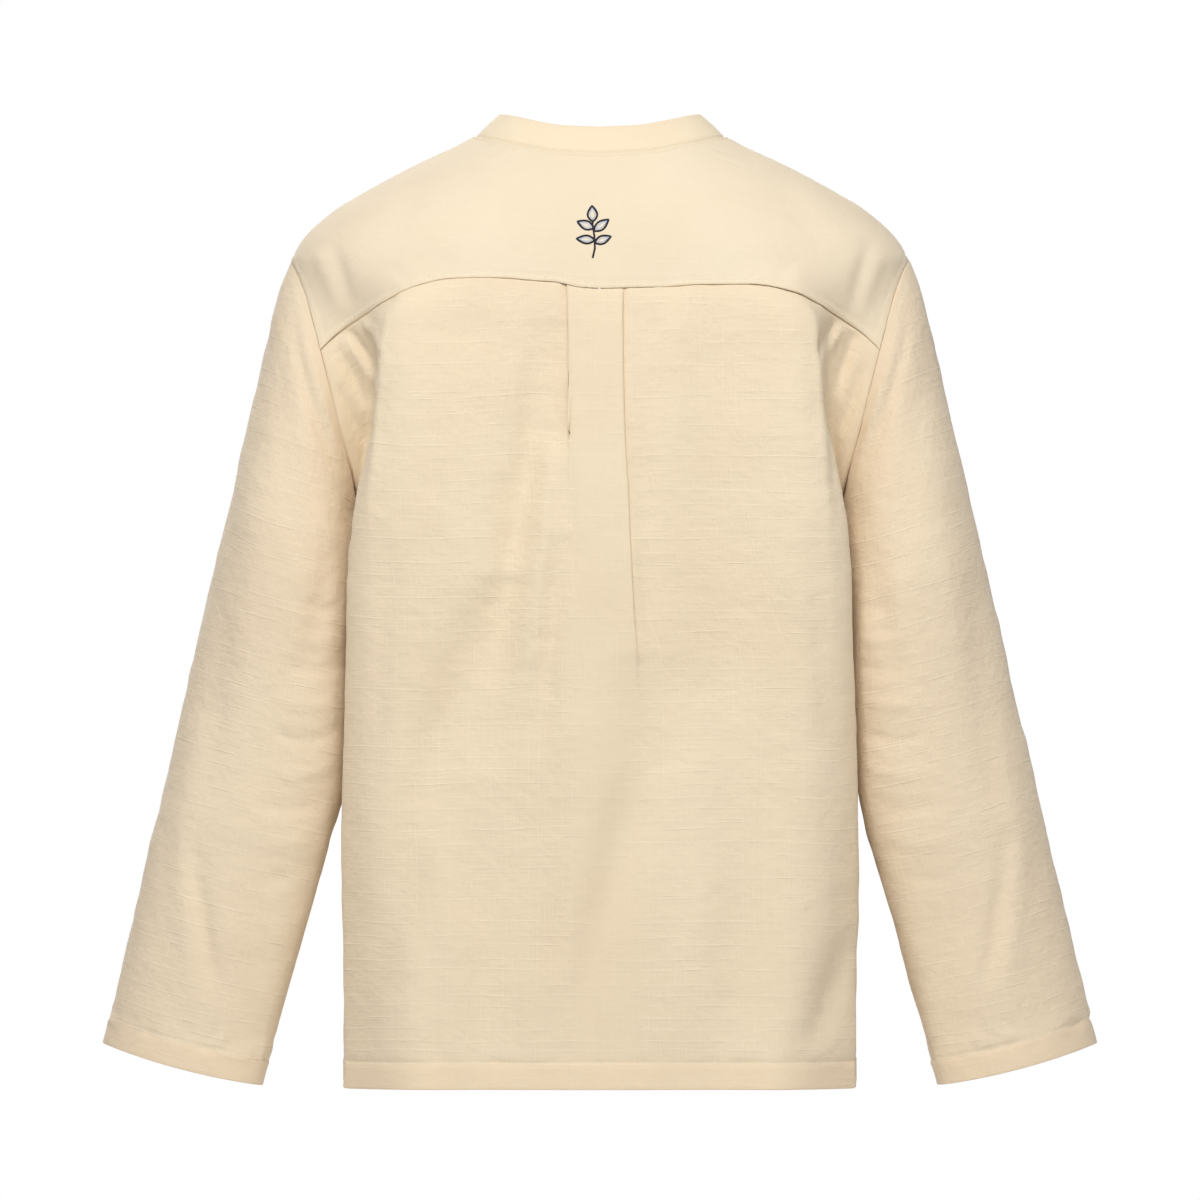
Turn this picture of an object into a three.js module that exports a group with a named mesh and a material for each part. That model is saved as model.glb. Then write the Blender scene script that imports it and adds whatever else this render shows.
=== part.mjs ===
// A loose, long-sleeved tunic with a band collar, filled out as it is when worn, made as cloth walls.
//
// Millimetres, +Z up, the front of the garment towards -Y, the wearer's left towards +X.
// The origin lies between the shoulders, level with the points where the collar meets the shoulder line.
//
// The pieces are those that a maker cuts: collar band, yoke, pleated back, front with a neck slit, two
// sleeves. Each is one wall of cloth. Its outer skin is a grid of points on a surface that is worked out
// from the tables below, and its inner skin is that grid moved inwards by the cloth's thickness.

import * as THREE from "three";

// ---- Driving dimensions ----

const CLOTH = 1.2; // thickness of the double gauze
const HEM_CLOTH = 2.2; // thickness where the cloth is turned up
const COLLAR_CLOTH = 1.8; // thickness of the two-layer collar band
const SEAM_GAP = 0.4; // clear distance between two pieces at a seam
const SEAM_REACH = 1; // edge points of two pieces that are nearer than this meet at a seam
const MOST_MITRE = 1.25; // limit to how far a seam's mitre is drawn out
const BODY_HEM_Z = -715; // lower edge of the body
const BODY_HEM_HEIGHT = 20; // depth of the body's turned hem
const SHOULDER_END_Z = -93; // where the armhole seam crosses the shoulder line
const HANGING_Z = -140; // below this the body hangs free of the rounded shoulder
const UNDERARM_Z = -276; // lowest point of the armhole
const UNDERARM_X = 181;
const ARMHOLE_LEAN = 0.253; // the armhole's x per unit of z
const ARMHOLE_FLICK = 5.2; // how far its top end turns outwards
const ARMHOLE_DEPTH = 50; // half its front-to-back width
const SLIT_END_Z = -250; // lower end of the neck slit
const SLIT_HALF_TOP = 1.5; // half the slit's width at the collar
const SLIT_HALF_END = 0.4;
const SLEEVE_SLOPE = 0.2324; // the sleeve's outer edge, x per unit of z
const SEGMENTS = 24; // points round a sleeve and its armhole

// Half-width, back depth and front depth of the shoulders, cut level at z.
const SHOULDER = [
  { z: 0, width: 92, back: 54, front: 50 },
  { z: -2, width: 103, back: 56, front: 51.5 },
  { z: -8, width: 116, back: 59.5, front: 55 },
  { z: -20, width: 140, back: 67, front: 61 },
  { z: -32, width: 161.5, back: 74, front: 66.5 },
  { z: -44, width: 182, back: 80, front: 72.5 },
  { z: -56, width: 201.5, back: 85.5, front: 78 },
  { z: -68, width: 216.5, back: 90, front: 82 },
  { z: -80, width: 226.5, back: 93.5, front: 86.5 },
  { z: -93, width: 232.5, back: 96.5, front: 91 },
  { z: -110, width: 239, back: 100, front: 94.5 },
  { z: -125, width: 243.5, back: 103, front: 97.5 },
  { z: HANGING_Z, width: 247, back: 105, front: 100 },
];

// The hanging body, cut level at z: depth at the centre, how much that falls off towards the blade, the
// corner where the cloth turns to the side and its radius, and the valley behind that corner.
const BACK_ROWS = [
  { z: -93, centre: 96.5, fall: 4, cornerX: 165, cornerY: 86, radius: 8, valleyX: 186, valleyY: 62 },
  { z: -125, centre: 103, fall: 4, cornerX: 165, cornerY: 92, radius: 8, valleyX: 178, valleyY: 62 },
  { z: -160, centre: 107, fall: 4, cornerX: 167, cornerY: 97, radius: 8, valleyX: 173, valleyY: 57 },
  { z: -200, centre: 111, fall: 4, cornerX: 169, cornerY: 101, radius: 9, valleyX: 172, valleyY: 51 },
  { z: -240, centre: 113, fall: 4, cornerX: 174, cornerY: 102, radius: 10, valleyX: 172, valleyY: 43 },
  { z: -276, centre: 114, fall: 4, cornerX: 179, cornerY: 102, radius: 11, valleyX: 174, valleyY: 38 },
  { z: -330, centre: 115, fall: 4, cornerX: 185, cornerY: 102, radius: 12, valleyX: 179, valleyY: 39 },
  { z: -400, centre: 115, fall: 5, cornerX: 189, cornerY: 101, radius: 14, valleyX: 183, valleyY: 41 },
  { z: -470, centre: 116, fall: 5, cornerX: 191, cornerY: 100, radius: 16, valleyX: 188, valleyY: 43 },
  { z: -540, centre: 118, fall: 6, cornerX: 191, cornerY: 101, radius: 18, valleyX: 192, valleyY: 46 },
  { z: -620, centre: 121, fall: 6, cornerX: 188, cornerY: 104, radius: 22, valleyX: 192, valleyY: 50 },
  { z: -715, centre: 125, fall: 7, cornerX: 184, cornerY: 108, radius: 26, valleyX: 192, valleyY: 54 },
];
const FRONT_ROWS = [
  { z: -93, centre: 91, fall: 4, cornerX: 163, cornerY: 78, radius: 10, valleyX: 187, valleyY: 58 },
  { z: -125, centre: 97, fall: 5, cornerX: 163, cornerY: 82, radius: 10, valleyX: 183, valleyY: 58 },
  { z: -160, centre: 102, fall: 5, cornerX: 164, cornerY: 86, radius: 10, valleyX: 177, valleyY: 57 },
  { z: -200, centre: 106, fall: 4, cornerX: 167, cornerY: 90, radius: 11, valleyX: 176, valleyY: 54 },
  { z: -240, centre: 109, fall: 4, cornerX: 172, cornerY: 92, radius: 12, valleyX: 176, valleyY: 48 },
  { z: -276, centre: 111, fall: 4, cornerX: 176, cornerY: 93, radius: 13, valleyX: 177, valleyY: 44 },
  { z: -330, centre: 112, fall: 4, cornerX: 181, cornerY: 93, radius: 14, valleyX: 180, valleyY: 43 },
  { z: -400, centre: 113, fall: 5, cornerX: 186, cornerY: 93, radius: 16, valleyX: 183, valleyY: 43 },
  { z: -470, centre: 114, fall: 5, cornerX: 189, cornerY: 93, radius: 18, valleyX: 188, valleyY: 45 },
  { z: -540, centre: 116, fall: 6, cornerX: 190, cornerY: 94, radius: 20, valleyX: 191, valleyY: 48 },
  { z: -620, centre: 118, fall: 6, cornerX: 188, cornerY: 97, radius: 24, valleyX: 192, valleyY: 51 },
  { z: -715, centre: 121, fall: 7, cornerX: 184, cornerY: 101, radius: 28, valleyX: 191, valleyY: 54 },
];
const SIDE_SEAM = [
  { z: UNDERARM_Z, x: UNDERARM_X },
  { z: -300, x: 178.5 },
  { z: -340, x: 176 },
  { z: -400, x: 176 },
  { z: -470, x: 180 },
  { z: -540, x: 188 },
  { z: -620, x: 191 },
  { z: -715, x: 192 },
];

// Where a column of the body lies on the rounded shoulder, by its share of the way from centre to side.
const SHARES = [
  { share: 0, degrees: 0 },
  { share: 0.3, degrees: 18 },
  { share: 0.58, degrees: 39 },
  { share: 0.66, degrees: 42 },
  { share: 0.8, degrees: 52 },
  { share: 1, degrees: 90 },
];
const BLADE_X = 85; // half-width at which a hanging section has fallen off from its centre
const HANG_SHARES = [0, 0.3, 0.58, 0.66, 0.8, 1];
const FOLDS_FADE = 0.56; // the folds fade out from this share of a section
const FOLDS_END = 0.68; // to this one
const FOLD_SKEW = 0.8; // under 1 makes a fold fuller, and deepest above its middle

const SQUARE_POWER = 0.87; // under 1 makes the shoulder's section squarer than an ellipse

// Height of the neck seam by its place on the shoulder section, and of the yoke's lower seam by its share.
const NECK_BACK = [
  { degrees: 0, z: -13 },
  { degrees: 16, z: -11.5 },
  { degrees: 33, z: -7 },
  { degrees: 44, z: -4.2 },
  { degrees: 56, z: -1.9 },
  { degrees: 67, z: -0.8 },
  { degrees: 90, z: 0 },
];
const NECK_FRONT = [
  { degrees: 0, z: -72 },
  { degrees: 6, z: -69 },
  { degrees: 11, z: -62 },
  { degrees: 18.6, z: -48 },
  { degrees: 28.3, z: -30 },
  { degrees: 38.6, z: -17 },
  { degrees: 50, z: -7.5 },
  { degrees: 59.6, z: -3.2 },
  { degrees: 75, z: -0.8 },
  { degrees: 90, z: 0 },
];
const YOKE_SEAM = [
  { share: 0, z: -113 },
  { share: 0.16, z: -113 },
  { share: 0.28, z: -111.5 },
  { share: 0.43, z: -111.5 },
  { share: 0.58, z: -118 },
  { share: 0.66, z: -123 },
  { share: 0.8, z: -134 },
  { share: 0.9, z: -145 },
  { share: 1, z: -160.8 },
];
// The yoke's front edge, which lies about 30 mm in front of the shoulder line, and the ridge rows beside
// it.
const YOKE_FRONT = [
  { share: 0.84, z: -3.2, ridgeZ: 0 },
  { share: 0.85, z: -12, ridgeZ: -6 },
  { share: 0.86, z: -30, ridgeZ: -18 },
  { share: 0.88, z: -60, ridgeZ: -44 },
  { share: 0.91, z: -86, ridgeZ: -70 },
  { share: 0.955, z: -104, ridgeZ: -84 },
  { share: 1, z: -119.8, ridgeZ: SHOULDER_END_Z },
];

// The box pleat: the middle and half-width of its outer fold, how far each side is folded under, how proud
// the fold stands, and how far the fold has opened out.
const PLEAT = [
  { z: -110, middle: 4, half: 20.6, under: 15, rise: 1.0, open: 0 },
  { z: -200, middle: 3, half: 21, under: 15, rise: 3.4, open: 0 },
  { z: -290, middle: -1, half: 21.5, under: 12, rise: 5, open: 0 },
  { z: -360, middle: -4, half: 21.7, under: 6, rise: 5.4, open: 0 },
  { z: -405, middle: -5, half: 22, under: 0, rise: 5.4, open: 0 },
  { z: -480, middle: -6, half: 22, under: 0, rise: 5, open: 1 },
  { z: -600, middle: -5, half: 24, under: 0, rise: 4.4, open: 1 },
  { z: -715, middle: -4, half: 26, under: 0, rise: 3, open: 1 },
];
const LAYER = 3; // outer skin of the fold to the skin of the layer turned under it
const TUCK = 0.6; // that layer to the one below it
const TIP = 1.5; // radius of the fold's edge
const PLEAT_DROP = 0.4; // extra gap below the yoke where the pleat's layers lie on each other

// Soft folds in the body: the line they follow, their half-width and their depth, inwards if negative.
const BACK_FOLDS = [
  { x0: 39, z0: -139, x1: 71, z1: -349, x2: 86, z2: -480, half: 17, depth: -5 },
  { x0: 36, z0: -230, x1: 46, z1: -330, x2: 56, z2: -440, half: 13, depth: 3.5 },
  { x0: 74, z0: -330, x1: 120, z1: -450, x2: 172, z2: -650, half: 24, depth: -7 },
  { x0: -31, z0: -390, x1: -34, z1: -470, x2: 25, z2: -690, half: 22, depth: -6 },
  { x0: -190, z0: -600, x1: -180, z1: -640, x2: -160, z2: -685, half: 18, depth: -6 },
  { x0: 100, z0: -150, x1: 104, z1: -300, x2: 120, z2: -430, half: 26, depth: 2.5 },
  { x0: -100, z0: -150, x1: -96, z1: -350, x2: -104, z2: -560, half: 34, depth: -2.5 },
];
const FRONT_FOLDS = [
  { x0: 130, z0: -150, x1: 118, z1: -340, x2: 100, z2: -560, half: 26, depth: -5 },
  { x0: -136, z0: -140, x1: -120, z1: -300, x2: -92, z2: -520, half: 24, depth: -5 },
  { x0: 40, z0: -330, x1: 34, z1: -480, x2: 44, z2: -690, half: 30, depth: 3.5 },
  { x0: -46, z0: -380, x1: -60, z1: -520, x2: -70, z2: -700, half: 26, depth: -4.5 },
];

// Sleeve sections: height of the outer and inner ends, x of the inner end, half the front-to-back width.
const SLEEVE_ROWS = [
  { outerZ: SHOULDER_END_Z, innerZ: UNDERARM_Z, innerX: UNDERARM_X, depth: 50 },
  { outerZ: -126, innerZ: -283, innerX: 182.5, depth: 54 },
  { outerZ: -158, innerZ: -295, innerX: 184, depth: 58 },
  { outerZ: -192, innerZ: -312, innerX: 185.5, depth: 61 },
  { outerZ: -230, innerZ: -334, innerX: 186.5, depth: 63 },
  { outerZ: -275, innerZ: -362, innerX: 187, depth: 64 },
  { outerZ: -325, innerZ: -396, innerX: 188, depth: 62 },
  { outerZ: -382, innerZ: -440, innerX: 189, depth: 59 },
  { outerZ: -440, innerZ: -488, innerX: 192.5, depth: 56 },
  { outerZ: -500, innerZ: -544, innerX: 206.5, depth: 53.5 },
  { outerZ: -560, innerZ: -600, innerX: 222.5, depth: 51.5 },
  { outerZ: -615, innerZ: -651, innerX: 237, depth: 50 },
  { outerZ: -664, innerZ: -695, innerX: 249.5, depth: 48.5 },
  { outerZ: -682, innerZ: -713, innerX: 254.5, depth: 48 },
];

// The collar band: how far its top edge leans in and stands up from the neck seam.
const COLLAR = {
  back: { lean: 14, rise: 20 },
  side: { lean: 18, rise: 17 },
  front: { lean: 11, rise: 21 },
};
const COLLAR_BULGE = 0.8;
const NECK_CENTRE_Y = -8;

const COLOURS = {
  body: 0xecdabb,
  yoke: 0xf1e1c3,
  collar: 0xf0dfc0,
  sleeve: 0xe8d4b4,
};

// ---- Curves ----

const lerp = (a, b, u) => a + (b - a) * u;

function ease(low, high, x) {
  const u = Math.min(1, Math.max(0, (x - low) / (high - low)));
  return u * u * (3 - 2 * u);
}

// A curve through one column of a table, without overshoot. The rows run up or down their key column.
function curve(rows, key, column) {
  const sorted = [...rows].sort((a, b) => a[key] - b[key]);
  const xs = sorted.map((row) => row[key]);
  const ys = sorted.map((row) => row[column]);
  const last = xs.length - 1;
  const steps = ys.slice(1).map((y, i) => (y - ys[i]) / (xs[i + 1] - xs[i]));
  const slopes = ys.map((_, i) => {
    if (i === 0) return steps[0];
    if (i === last) return steps[last - 1];
    if (steps[i - 1] * steps[i] <= 0) return 0;
    return (2 * steps[i - 1] * steps[i]) / (steps[i - 1] + steps[i]);
  });
  return (x) => {
    const at = Math.min(xs[last], Math.max(xs[0], x));
    let i = 0;
    while (i < last - 1 && at > xs[i + 1]) i += 1;
    return hermite(xs[i], xs[i + 1], ys[i], ys[i + 1], slopes[i], slopes[i + 1], at);
  };
}

function hermite(x0, x1, y0, y1, slope0, slope1, x) {
  const h = x1 - x0;
  const u = (x - x0) / h;
  const v = u - 1;
  return (
    y0 * (1 + 2 * u) * v * v + y1 * u * u * (3 - 2 * u) + h * (slope0 * u * v * v + slope1 * u * u * v)
  );
}

// Every numeric column of a table as a curve over its key column.
function curves(rows, key) {
  const columns = Object.keys(rows[0]).filter((column) => column !== key);
  return Object.fromEntries(columns.map((column) => [column, curve(rows, key, column)]));
}

const shoulder = curves(SHOULDER, "z");
const sideSeamX = curve(SIDE_SEAM, "z", "x");
const yokeSeamZ = curve(YOKE_SEAM, "share", "z");
const pleat = curves(PLEAT, "z");

const BACK = {
  sign: 1,
  depth: "back",
  rows: curves(BACK_ROWS, "z"),
  neckZ: curve(NECK_BACK, "degrees", "z"),
};
const FRONT = {
  sign: -1,
  depth: "front",
  rows: curves(FRONT_ROWS, "z"),
  neckZ: curve(NECK_FRONT, "degrees", "z"),
};

// Straight stretches between the rows of SHARES.
function degreesAt(share) {
  const i = Math.max(1, SHARES.findIndex((row) => row.share >= share));
  const a = SHARES[i - 1];
  const b = SHARES[i];
  return lerp(a.degrees, b.degrees, (share - a.share) / (b.share - a.share));
}

// ---- The armhole ----

const ARMHOLE_MIDDLE = (SHOULDER_END_Z + UNDERARM_Z) / 2;
const ARMHOLE_HALF = (SHOULDER_END_Z - UNDERARM_Z) / 2;

// A point of the left armhole seam, by its angle from the shoulder, over the back, to the underarm.
function armhole(angle) {
  const z = ARMHOLE_MIDDLE + ARMHOLE_HALF * Math.cos(angle);
  const flick = ARMHOLE_FLICK * Math.max(0, Math.cos(angle)) ** 6;
  return new THREE.Vector3(
    UNDERARM_X + ARMHOLE_LEAN * (z - UNDERARM_Z) + flick,
    ARMHOLE_DEPTH * Math.sin(angle),
    z,
  );
}

const armholeZ = (step) => armhole((step * 2 * Math.PI) / SEGMENTS).z;

// The end of a level section of the body: shoulder line, armhole seam or side seam.
function sectionEnd(z) {
  if (z >= SHOULDER_END_Z) return { x: shoulder.width(z), y: 0 };
  if (z <= UNDERARM_Z) return { x: sideSeamX(z), y: 0 };
  const point = armhole(Math.acos((z - ARMHOLE_MIDDLE) / ARMHOLE_HALF));
  return { x: point.x, y: point.y };
}

// ---- The body ----

// A level section of the rounded shoulder, ended at the armhole seam where there is one. It is an ellipse
// at the neck, and turns squarer towards the shoulder's end.
function shoulderSection(face, share, z) {
  const power = lerp(1, SQUARE_POWER, ease(NECK_BACK[0].z, SHOULDER_END_Z, z));
  const width = shoulder.width(z);
  const depth = shoulder[face.depth](z);
  const end = sectionEnd(z);
  const endAngle = Math.acos(Math.min(1, (end.y / depth) ** (1 / power)));
  const at = (degrees) => {
    const angle = (degrees / 90) * endAngle;
    return { x: width * Math.sin(angle) ** power, y: depth * Math.max(0, Math.cos(angle)) ** power };
  };
  const point = at(degreesAt(share));
  const pull = ease(0.6, 1, share);
  const loose = at(90);
  return { x: point.x + (end.x - loose.x) * pull, y: point.y + (end.y - loose.y) * pull };
}

// A level section of the hanging cloth: flat panel, corner, valley, then out to the armhole or side seam.
function hangingSection(face, share, z) {
  const row = Object.fromEntries(Object.entries(face.rows).map(([name, at]) => [name, at(z)]));
  const end = sectionEnd(z);
  const xs = [0, BLADE_X, row.cornerX - row.radius, row.cornerX, row.valleyX, end.x];
  const ys = [
    row.centre,
    row.centre - row.fall,
    row.cornerY,
    row.cornerY - 1.3 * row.radius,
    row.valleyY,
    end.y,
  ];
  // The seam is crossed square to the side below the underarm, and straight on out of the valley above it.
  const last = HANG_SHARES.length - 1;
  const reach = HANG_SHARES[last] - HANG_SHARES[last - 1];
  const above = ease(UNDERARM_Z, UNDERARM_Z + 40, z);
  const out = { x: (end.x - row.valleyX) / reach, y: (end.y - row.valleyY) / reach };
  const endSlope = { x: out.x * above, y: lerp(-row.valleyY / reach, out.y, above) };
  return {
    x: alongSection(xs, share, BLADE_X / HANG_SHARES[1], endSlope.x),
    y: alongSection(ys, share, 0, endSlope.y),
  };
}

function alongSection(values, share, startSlope, endSlope) {
  const last = HANG_SHARES.length - 1;
  const step = (i) => (values[i + 1] - values[i]) / (HANG_SHARES[i + 1] - HANG_SHARES[i]);
  const slope = (i) => {
    if (i === 0) return startSlope;
    if (i === last) return endSlope;
    const before = HANG_SHARES[i] - HANG_SHARES[i - 1];
    const after = HANG_SHARES[i + 1] - HANG_SHARES[i];
    return (step(i - 1) * after + step(i) * before) / (before + after);
  };
  let i = 0;
  while (i < last - 1 && share > HANG_SHARES[i + 1]) i += 1;
  const [from, to] = [HANG_SHARES[i], HANG_SHARES[i + 1]];
  return hermite(from, to, values[i], values[i + 1], slope(i), slope(i + 1), share);
}

// How far the soft folds move the cloth at x, z.
function foldDepth(folds, x, z) {
  return folds.reduce((sum, fold) => {
    const along = (fold.z0 - z) / (fold.z0 - fold.z2);
    if (along <= 0 || along >= 1) return sum;
    const bend = (fold.z0 - fold.z1) / (fold.z0 - fold.z2);
    const line =
      along < bend
        ? lerp(fold.x0, fold.x1, along / bend)
        : lerp(fold.x1, fold.x2, (along - bend) / (1 - bend));
    const across = (x - line) / fold.half;
    const strength = Math.sin(Math.PI * along ** FOLD_SKEW) ** FOLD_SKEW;
    return sum + fold.depth * strength * Math.exp(-across * across);
  }, 0);
}

// A point of the body's outer skin. share runs from -1 at the right side to 1 at the left.
function bodyPoint(face, share, z, proud = 0) {
  const s = Math.abs(share);
  let { x, y } = z >= SHOULDER_END_Z ? shoulderSection(face, s, z) : hangingSection(face, s, z);
  if (z < SHOULDER_END_Z && z > HANGING_Z) {
    const upper = shoulderSection(face, s, z);
    const hang = ease(SHOULDER_END_Z, HANGING_Z, z);
    x = lerp(upper.x, x, hang);
    y = lerp(upper.y, y, hang);
  }
  x *= Math.sign(share);
  const free = 1 - ease(FOLDS_FADE, FOLDS_END, s);
  const folds = face === BACK ? BACK_FOLDS : FRONT_FOLDS;
  y += (foldDepth(folds, x, z) + proud) * free;
  return new THREE.Vector3(x, face.sign * y, z);
}

const neckZ = (face, share) => face.neckZ(degreesAt(Math.abs(share)));

// ---- Walls of cloth ----

const SAME_LENGTH = 1e-4; // diagonals that differ by less count as equal
const WELD = 0.001; // points this near each other are one

// The two triangles of a quad, split along its shorter diagonal, or along the one from its highest corner.
function splitQuad([a, b, c, d], points) {
  const difference = points[a].distanceTo(points[c]) - points[b].distanceTo(points[d]);
  const higher = Math.max(points[a].z, points[c].z) > Math.max(points[b].z, points[d].z);
  const acrossAC = Math.abs(difference) > SAME_LENGTH ? difference < 0 : higher;
  return acrossAC ? [[a, b, c], [a, c, d]] : [[a, b, d], [b, c, d]];
}

// An outer skin under construction: welded points, each with a cloth thickness, and triangles that face
// out.
class Skin {
  points = [];
  thickness = [];
  triangles = [];
  #index = new Map();

  add(point, thickness) {
    const key = point.toArray().map((value) => Math.round(value / WELD)).join();
    if (!this.#index.has(key)) {
      this.#index.set(key, this.points.length);
      this.points.push(point);
      this.thickness.push(thickness);
    }
    return this.#index.get(key);
  }

  // rows[j][i] are points. Seen from outside, the rows run down and the points run from left to right.
  grid(rows, thicknessOf = () => CLOTH) {
    const ids = rows.map((row) => row.map((point) => this.add(point, thicknessOf(point))));
    for (let j = 0; j + 1 < ids.length; j += 1) {
      for (let i = 0; i + 1 < ids[j].length; i += 1) {
        const corners = [ids[j][i], ids[j + 1][i], ids[j + 1][i + 1], ids[j][i + 1]];
        const halves = splitQuad(corners, this.points);
        this.triangles.push(...halves.filter(([a, b, c]) => a !== b && b !== c && c !== a));
      }
    }
  }

  normals() {
    const sums = this.points.map(() => new THREE.Vector3());
    for (const [a, b, c] of this.triangles) {
      const edge1 = this.points[b].clone().sub(this.points[a]);
      const edge2 = this.points[c].clone().sub(this.points[a]);
      const normal = edge1.cross(edge2).normalize();
      for (const i of [a, b, c]) sums[i].add(normal);
    }
    return sums.map((sum) => sum.normalize());
  }

  // Edges with a triangle on one side only, in that triangle's direction.
  edges() {
    const open = new Map();
    for (const [a, b, c] of this.triangles) {
      for (const [from, to] of [[a, b], [b, c], [c, a]]) {
        if (!open.delete(`${to},${from}`)) open.set(`${from},${to}`, [from, to]);
      }
    }
    return [...open.values()];
  }

  // The closed wall between the skin and the same skin moved inwards.
  wall(inwards) {
    const count = this.points.length;
    const inner = this.points.map((point, i) =>
      point.clone().addScaledVector(inwards[i], this.thickness[i]),
    );
    const all = [...this.points, ...inner];
    const faces = [
      ...this.triangles,
      ...this.triangles.map(([a, b, c]) => [a + count, c + count, b + count]),
      ...this.edges().flatMap(([from, to]) => splitQuad([to, from, from + count, to + count], all)),
    ];
    const geometry = new THREE.BufferGeometry();
    const positions = all.flatMap((point) => point.toArray());
    geometry.setAttribute("position", new THREE.Float32BufferAttribute(positions, 3));
    geometry.setIndex(faces.flat());
    geometry.computeVertexNormals();
    return geometry;
  }
}

// The way inwards from each point of each skin. Where skins meet at a seam, their edges all go the same
// way, halfway between the two that differ most, so that the seam is mitred and its gap stays even.
function inwardDirections(skins) {
  const normals = skins.map((skin) => skin.normals());
  const rims = skins.flatMap((skin, s) => {
    const rim = [...new Set(skin.edges().flat())];
    return rim.map((i) => ({ skin: s, point: skin.points[i], normal: normals[s][i] }));
  });
  return skins.map((skin, s) => {
    const inwards = normals[s].map((normal) => normal.clone().negate());
    for (const i of new Set(skin.edges().flat())) {
      const near = rims.filter((rim) => rim.point.distanceTo(skin.points[i]) < SEAM_REACH);
      if (near.every((rim) => rim.skin === s)) continue;
      const shared = halfway(near.map((rim) => rim.normal));
      const lean = Math.max(1 / MOST_MITRE, shared.dot(normals[s][i]));
      inwards[i] = shared.multiplyScalar(-1 / lean);
    }
    return inwards;
  });
}

// The direction halfway between the two of some directions that differ most.
function halfway(directions) {
  let widest = [directions[0], directions[0]];
  for (const a of directions) {
    for (const b of directions) {
      if (a.dot(b) < widest[0].dot(widest[1])) widest = [a, b];
    }
  }
  return widest[0].clone().add(widest[1]).normalize();
}

function clothMesh({ name, colour }, geometry) {
  const material = new THREE.MeshStandardMaterial({ color: colour, roughness: 0.9, metalness: 0 });
  const mesh = new THREE.Mesh(geometry, material);
  mesh.name = name;
  return mesh;
}

const mirrored = (shares) => [...shares.slice(1).reverse().map((share) => -share), ...shares];
const bodyHemCloth = (point) => (point.z < BODY_HEM_Z + BODY_HEM_HEIGHT ? HEM_CLOTH : CLOTH);
const SEAM_SHARE = 0.001; // a share of a section that is about half the gap at a seam
const atSideSeam = (share, z) =>
  z > UNDERARM_Z ? share : Math.sign(share) * Math.min(Math.abs(share), 1 - SEAM_SHARE);

// ---- Yoke ----

const SIDE_SHARES = [0.28, 0.35, 0.43, 0.51, 0.58, 0.62, 0.66, 0.7, 0.75, 0.8, 0.87, 0.94, 1];
const YOKE_SHARES = [0, 0.08, 0.16, 0.22, ...SIDE_SHARES];
const YOKE_BACK_STEPS = 5; // armhole steps from the shoulder to the yoke's lower corner
const YOKE_FRONT_STEPS = 3; // and to its front corner
const YOKE_FRONT_FIRST = YOKE_FRONT[0];
const YOKE_FRONT_LAST = YOKE_FRONT[YOKE_FRONT.length - 1];

function yoke() {
  const skin = new Skin();
  const sideZ = YOKE_FRONT.map((row) => row.ridgeZ);
  for (let step = 1; step < YOKE_BACK_STEPS; step += 1) sideZ.push(armholeZ(step));
  sideZ.push(armholeZ(YOKE_BACK_STEPS) + SEAM_GAP / 2);
  const cornerZ = sideZ[sideZ.length - 1];
  const rows = sideZ.map((z) =>
    mirrored(YOKE_SHARES).reverse().map((share) => {
      const top = neckZ(BACK, share);
      const bottom = yokeSeamZ(Math.abs(share)) + SEAM_GAP / 2;
      const level = Math.abs(share) === 1 ? z : lerp(top, bottom, z / cornerZ);
      return bodyPoint(BACK, share, level);
    }),
  );
  skin.grid(rows);
  for (const side of [1, -1]) {
    const flap = YOKE_FRONT.map((row, j) => yokeFlapRow(row, j / (YOKE_FRONT.length - 1), side));
    skin.grid(side > 0 ? flap : flap.map((row) => row.reverse()));
  }
  return { name: "yoke", colour: COLOURS.yoke, skin };
}

// Half the seam's gap in z at the yoke's front edge, which runs level only near the armhole.
const flapGap = (z) => (ease(60, -YOKE_FRONT_LAST.z, -z) * SEAM_GAP) / 2;

// One row of the part of the yoke that lies in front of the shoulder line, from its front edge to that
// line.
function yokeFlapRow(row, along, side) {
  const points = [];
  for (let step = YOKE_FRONT_STEPS; step >= 0; step -= 1) {
    const u = step / YOKE_FRONT_STEPS;
    const edgeShare = row === YOKE_FRONT_LAST ? 1 : row.share + SEAM_SHARE;
    const neck = neckZ(FRONT, lerp(1, YOKE_FRONT_FIRST.share, u)) - lerp(0, YOKE_FRONT_FIRST.z, u);
    const arm = armholeZ(step) - lerp(SHOULDER_END_Z, YOKE_FRONT_LAST.z, u);
    const z = lerp(row.ridgeZ, row.z, u) + lerp(neck, arm, along) + (u === 1 ? flapGap(row.z) : 0);
    points.push(bodyPoint(FRONT, side * lerp(1, edgeShare, u), z));
  }
  return points;
}

// ---- Back and front panels ----

const HEM_STEP = 1; // the wall thickens over this far on each side of a hem's upper edge
const BODY_HEM_TOP = BODY_HEM_Z + BODY_HEM_HEIGHT;
const HEM_ROWS = [BODY_HEM_TOP + HEM_STEP, BODY_HEM_TOP - HEM_STEP, BODY_HEM_Z];
const LOWER_ROWS = [-300, -330, -365, -400, -440, -480, -525, -575, -630, ...HEM_ROWS];

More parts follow.
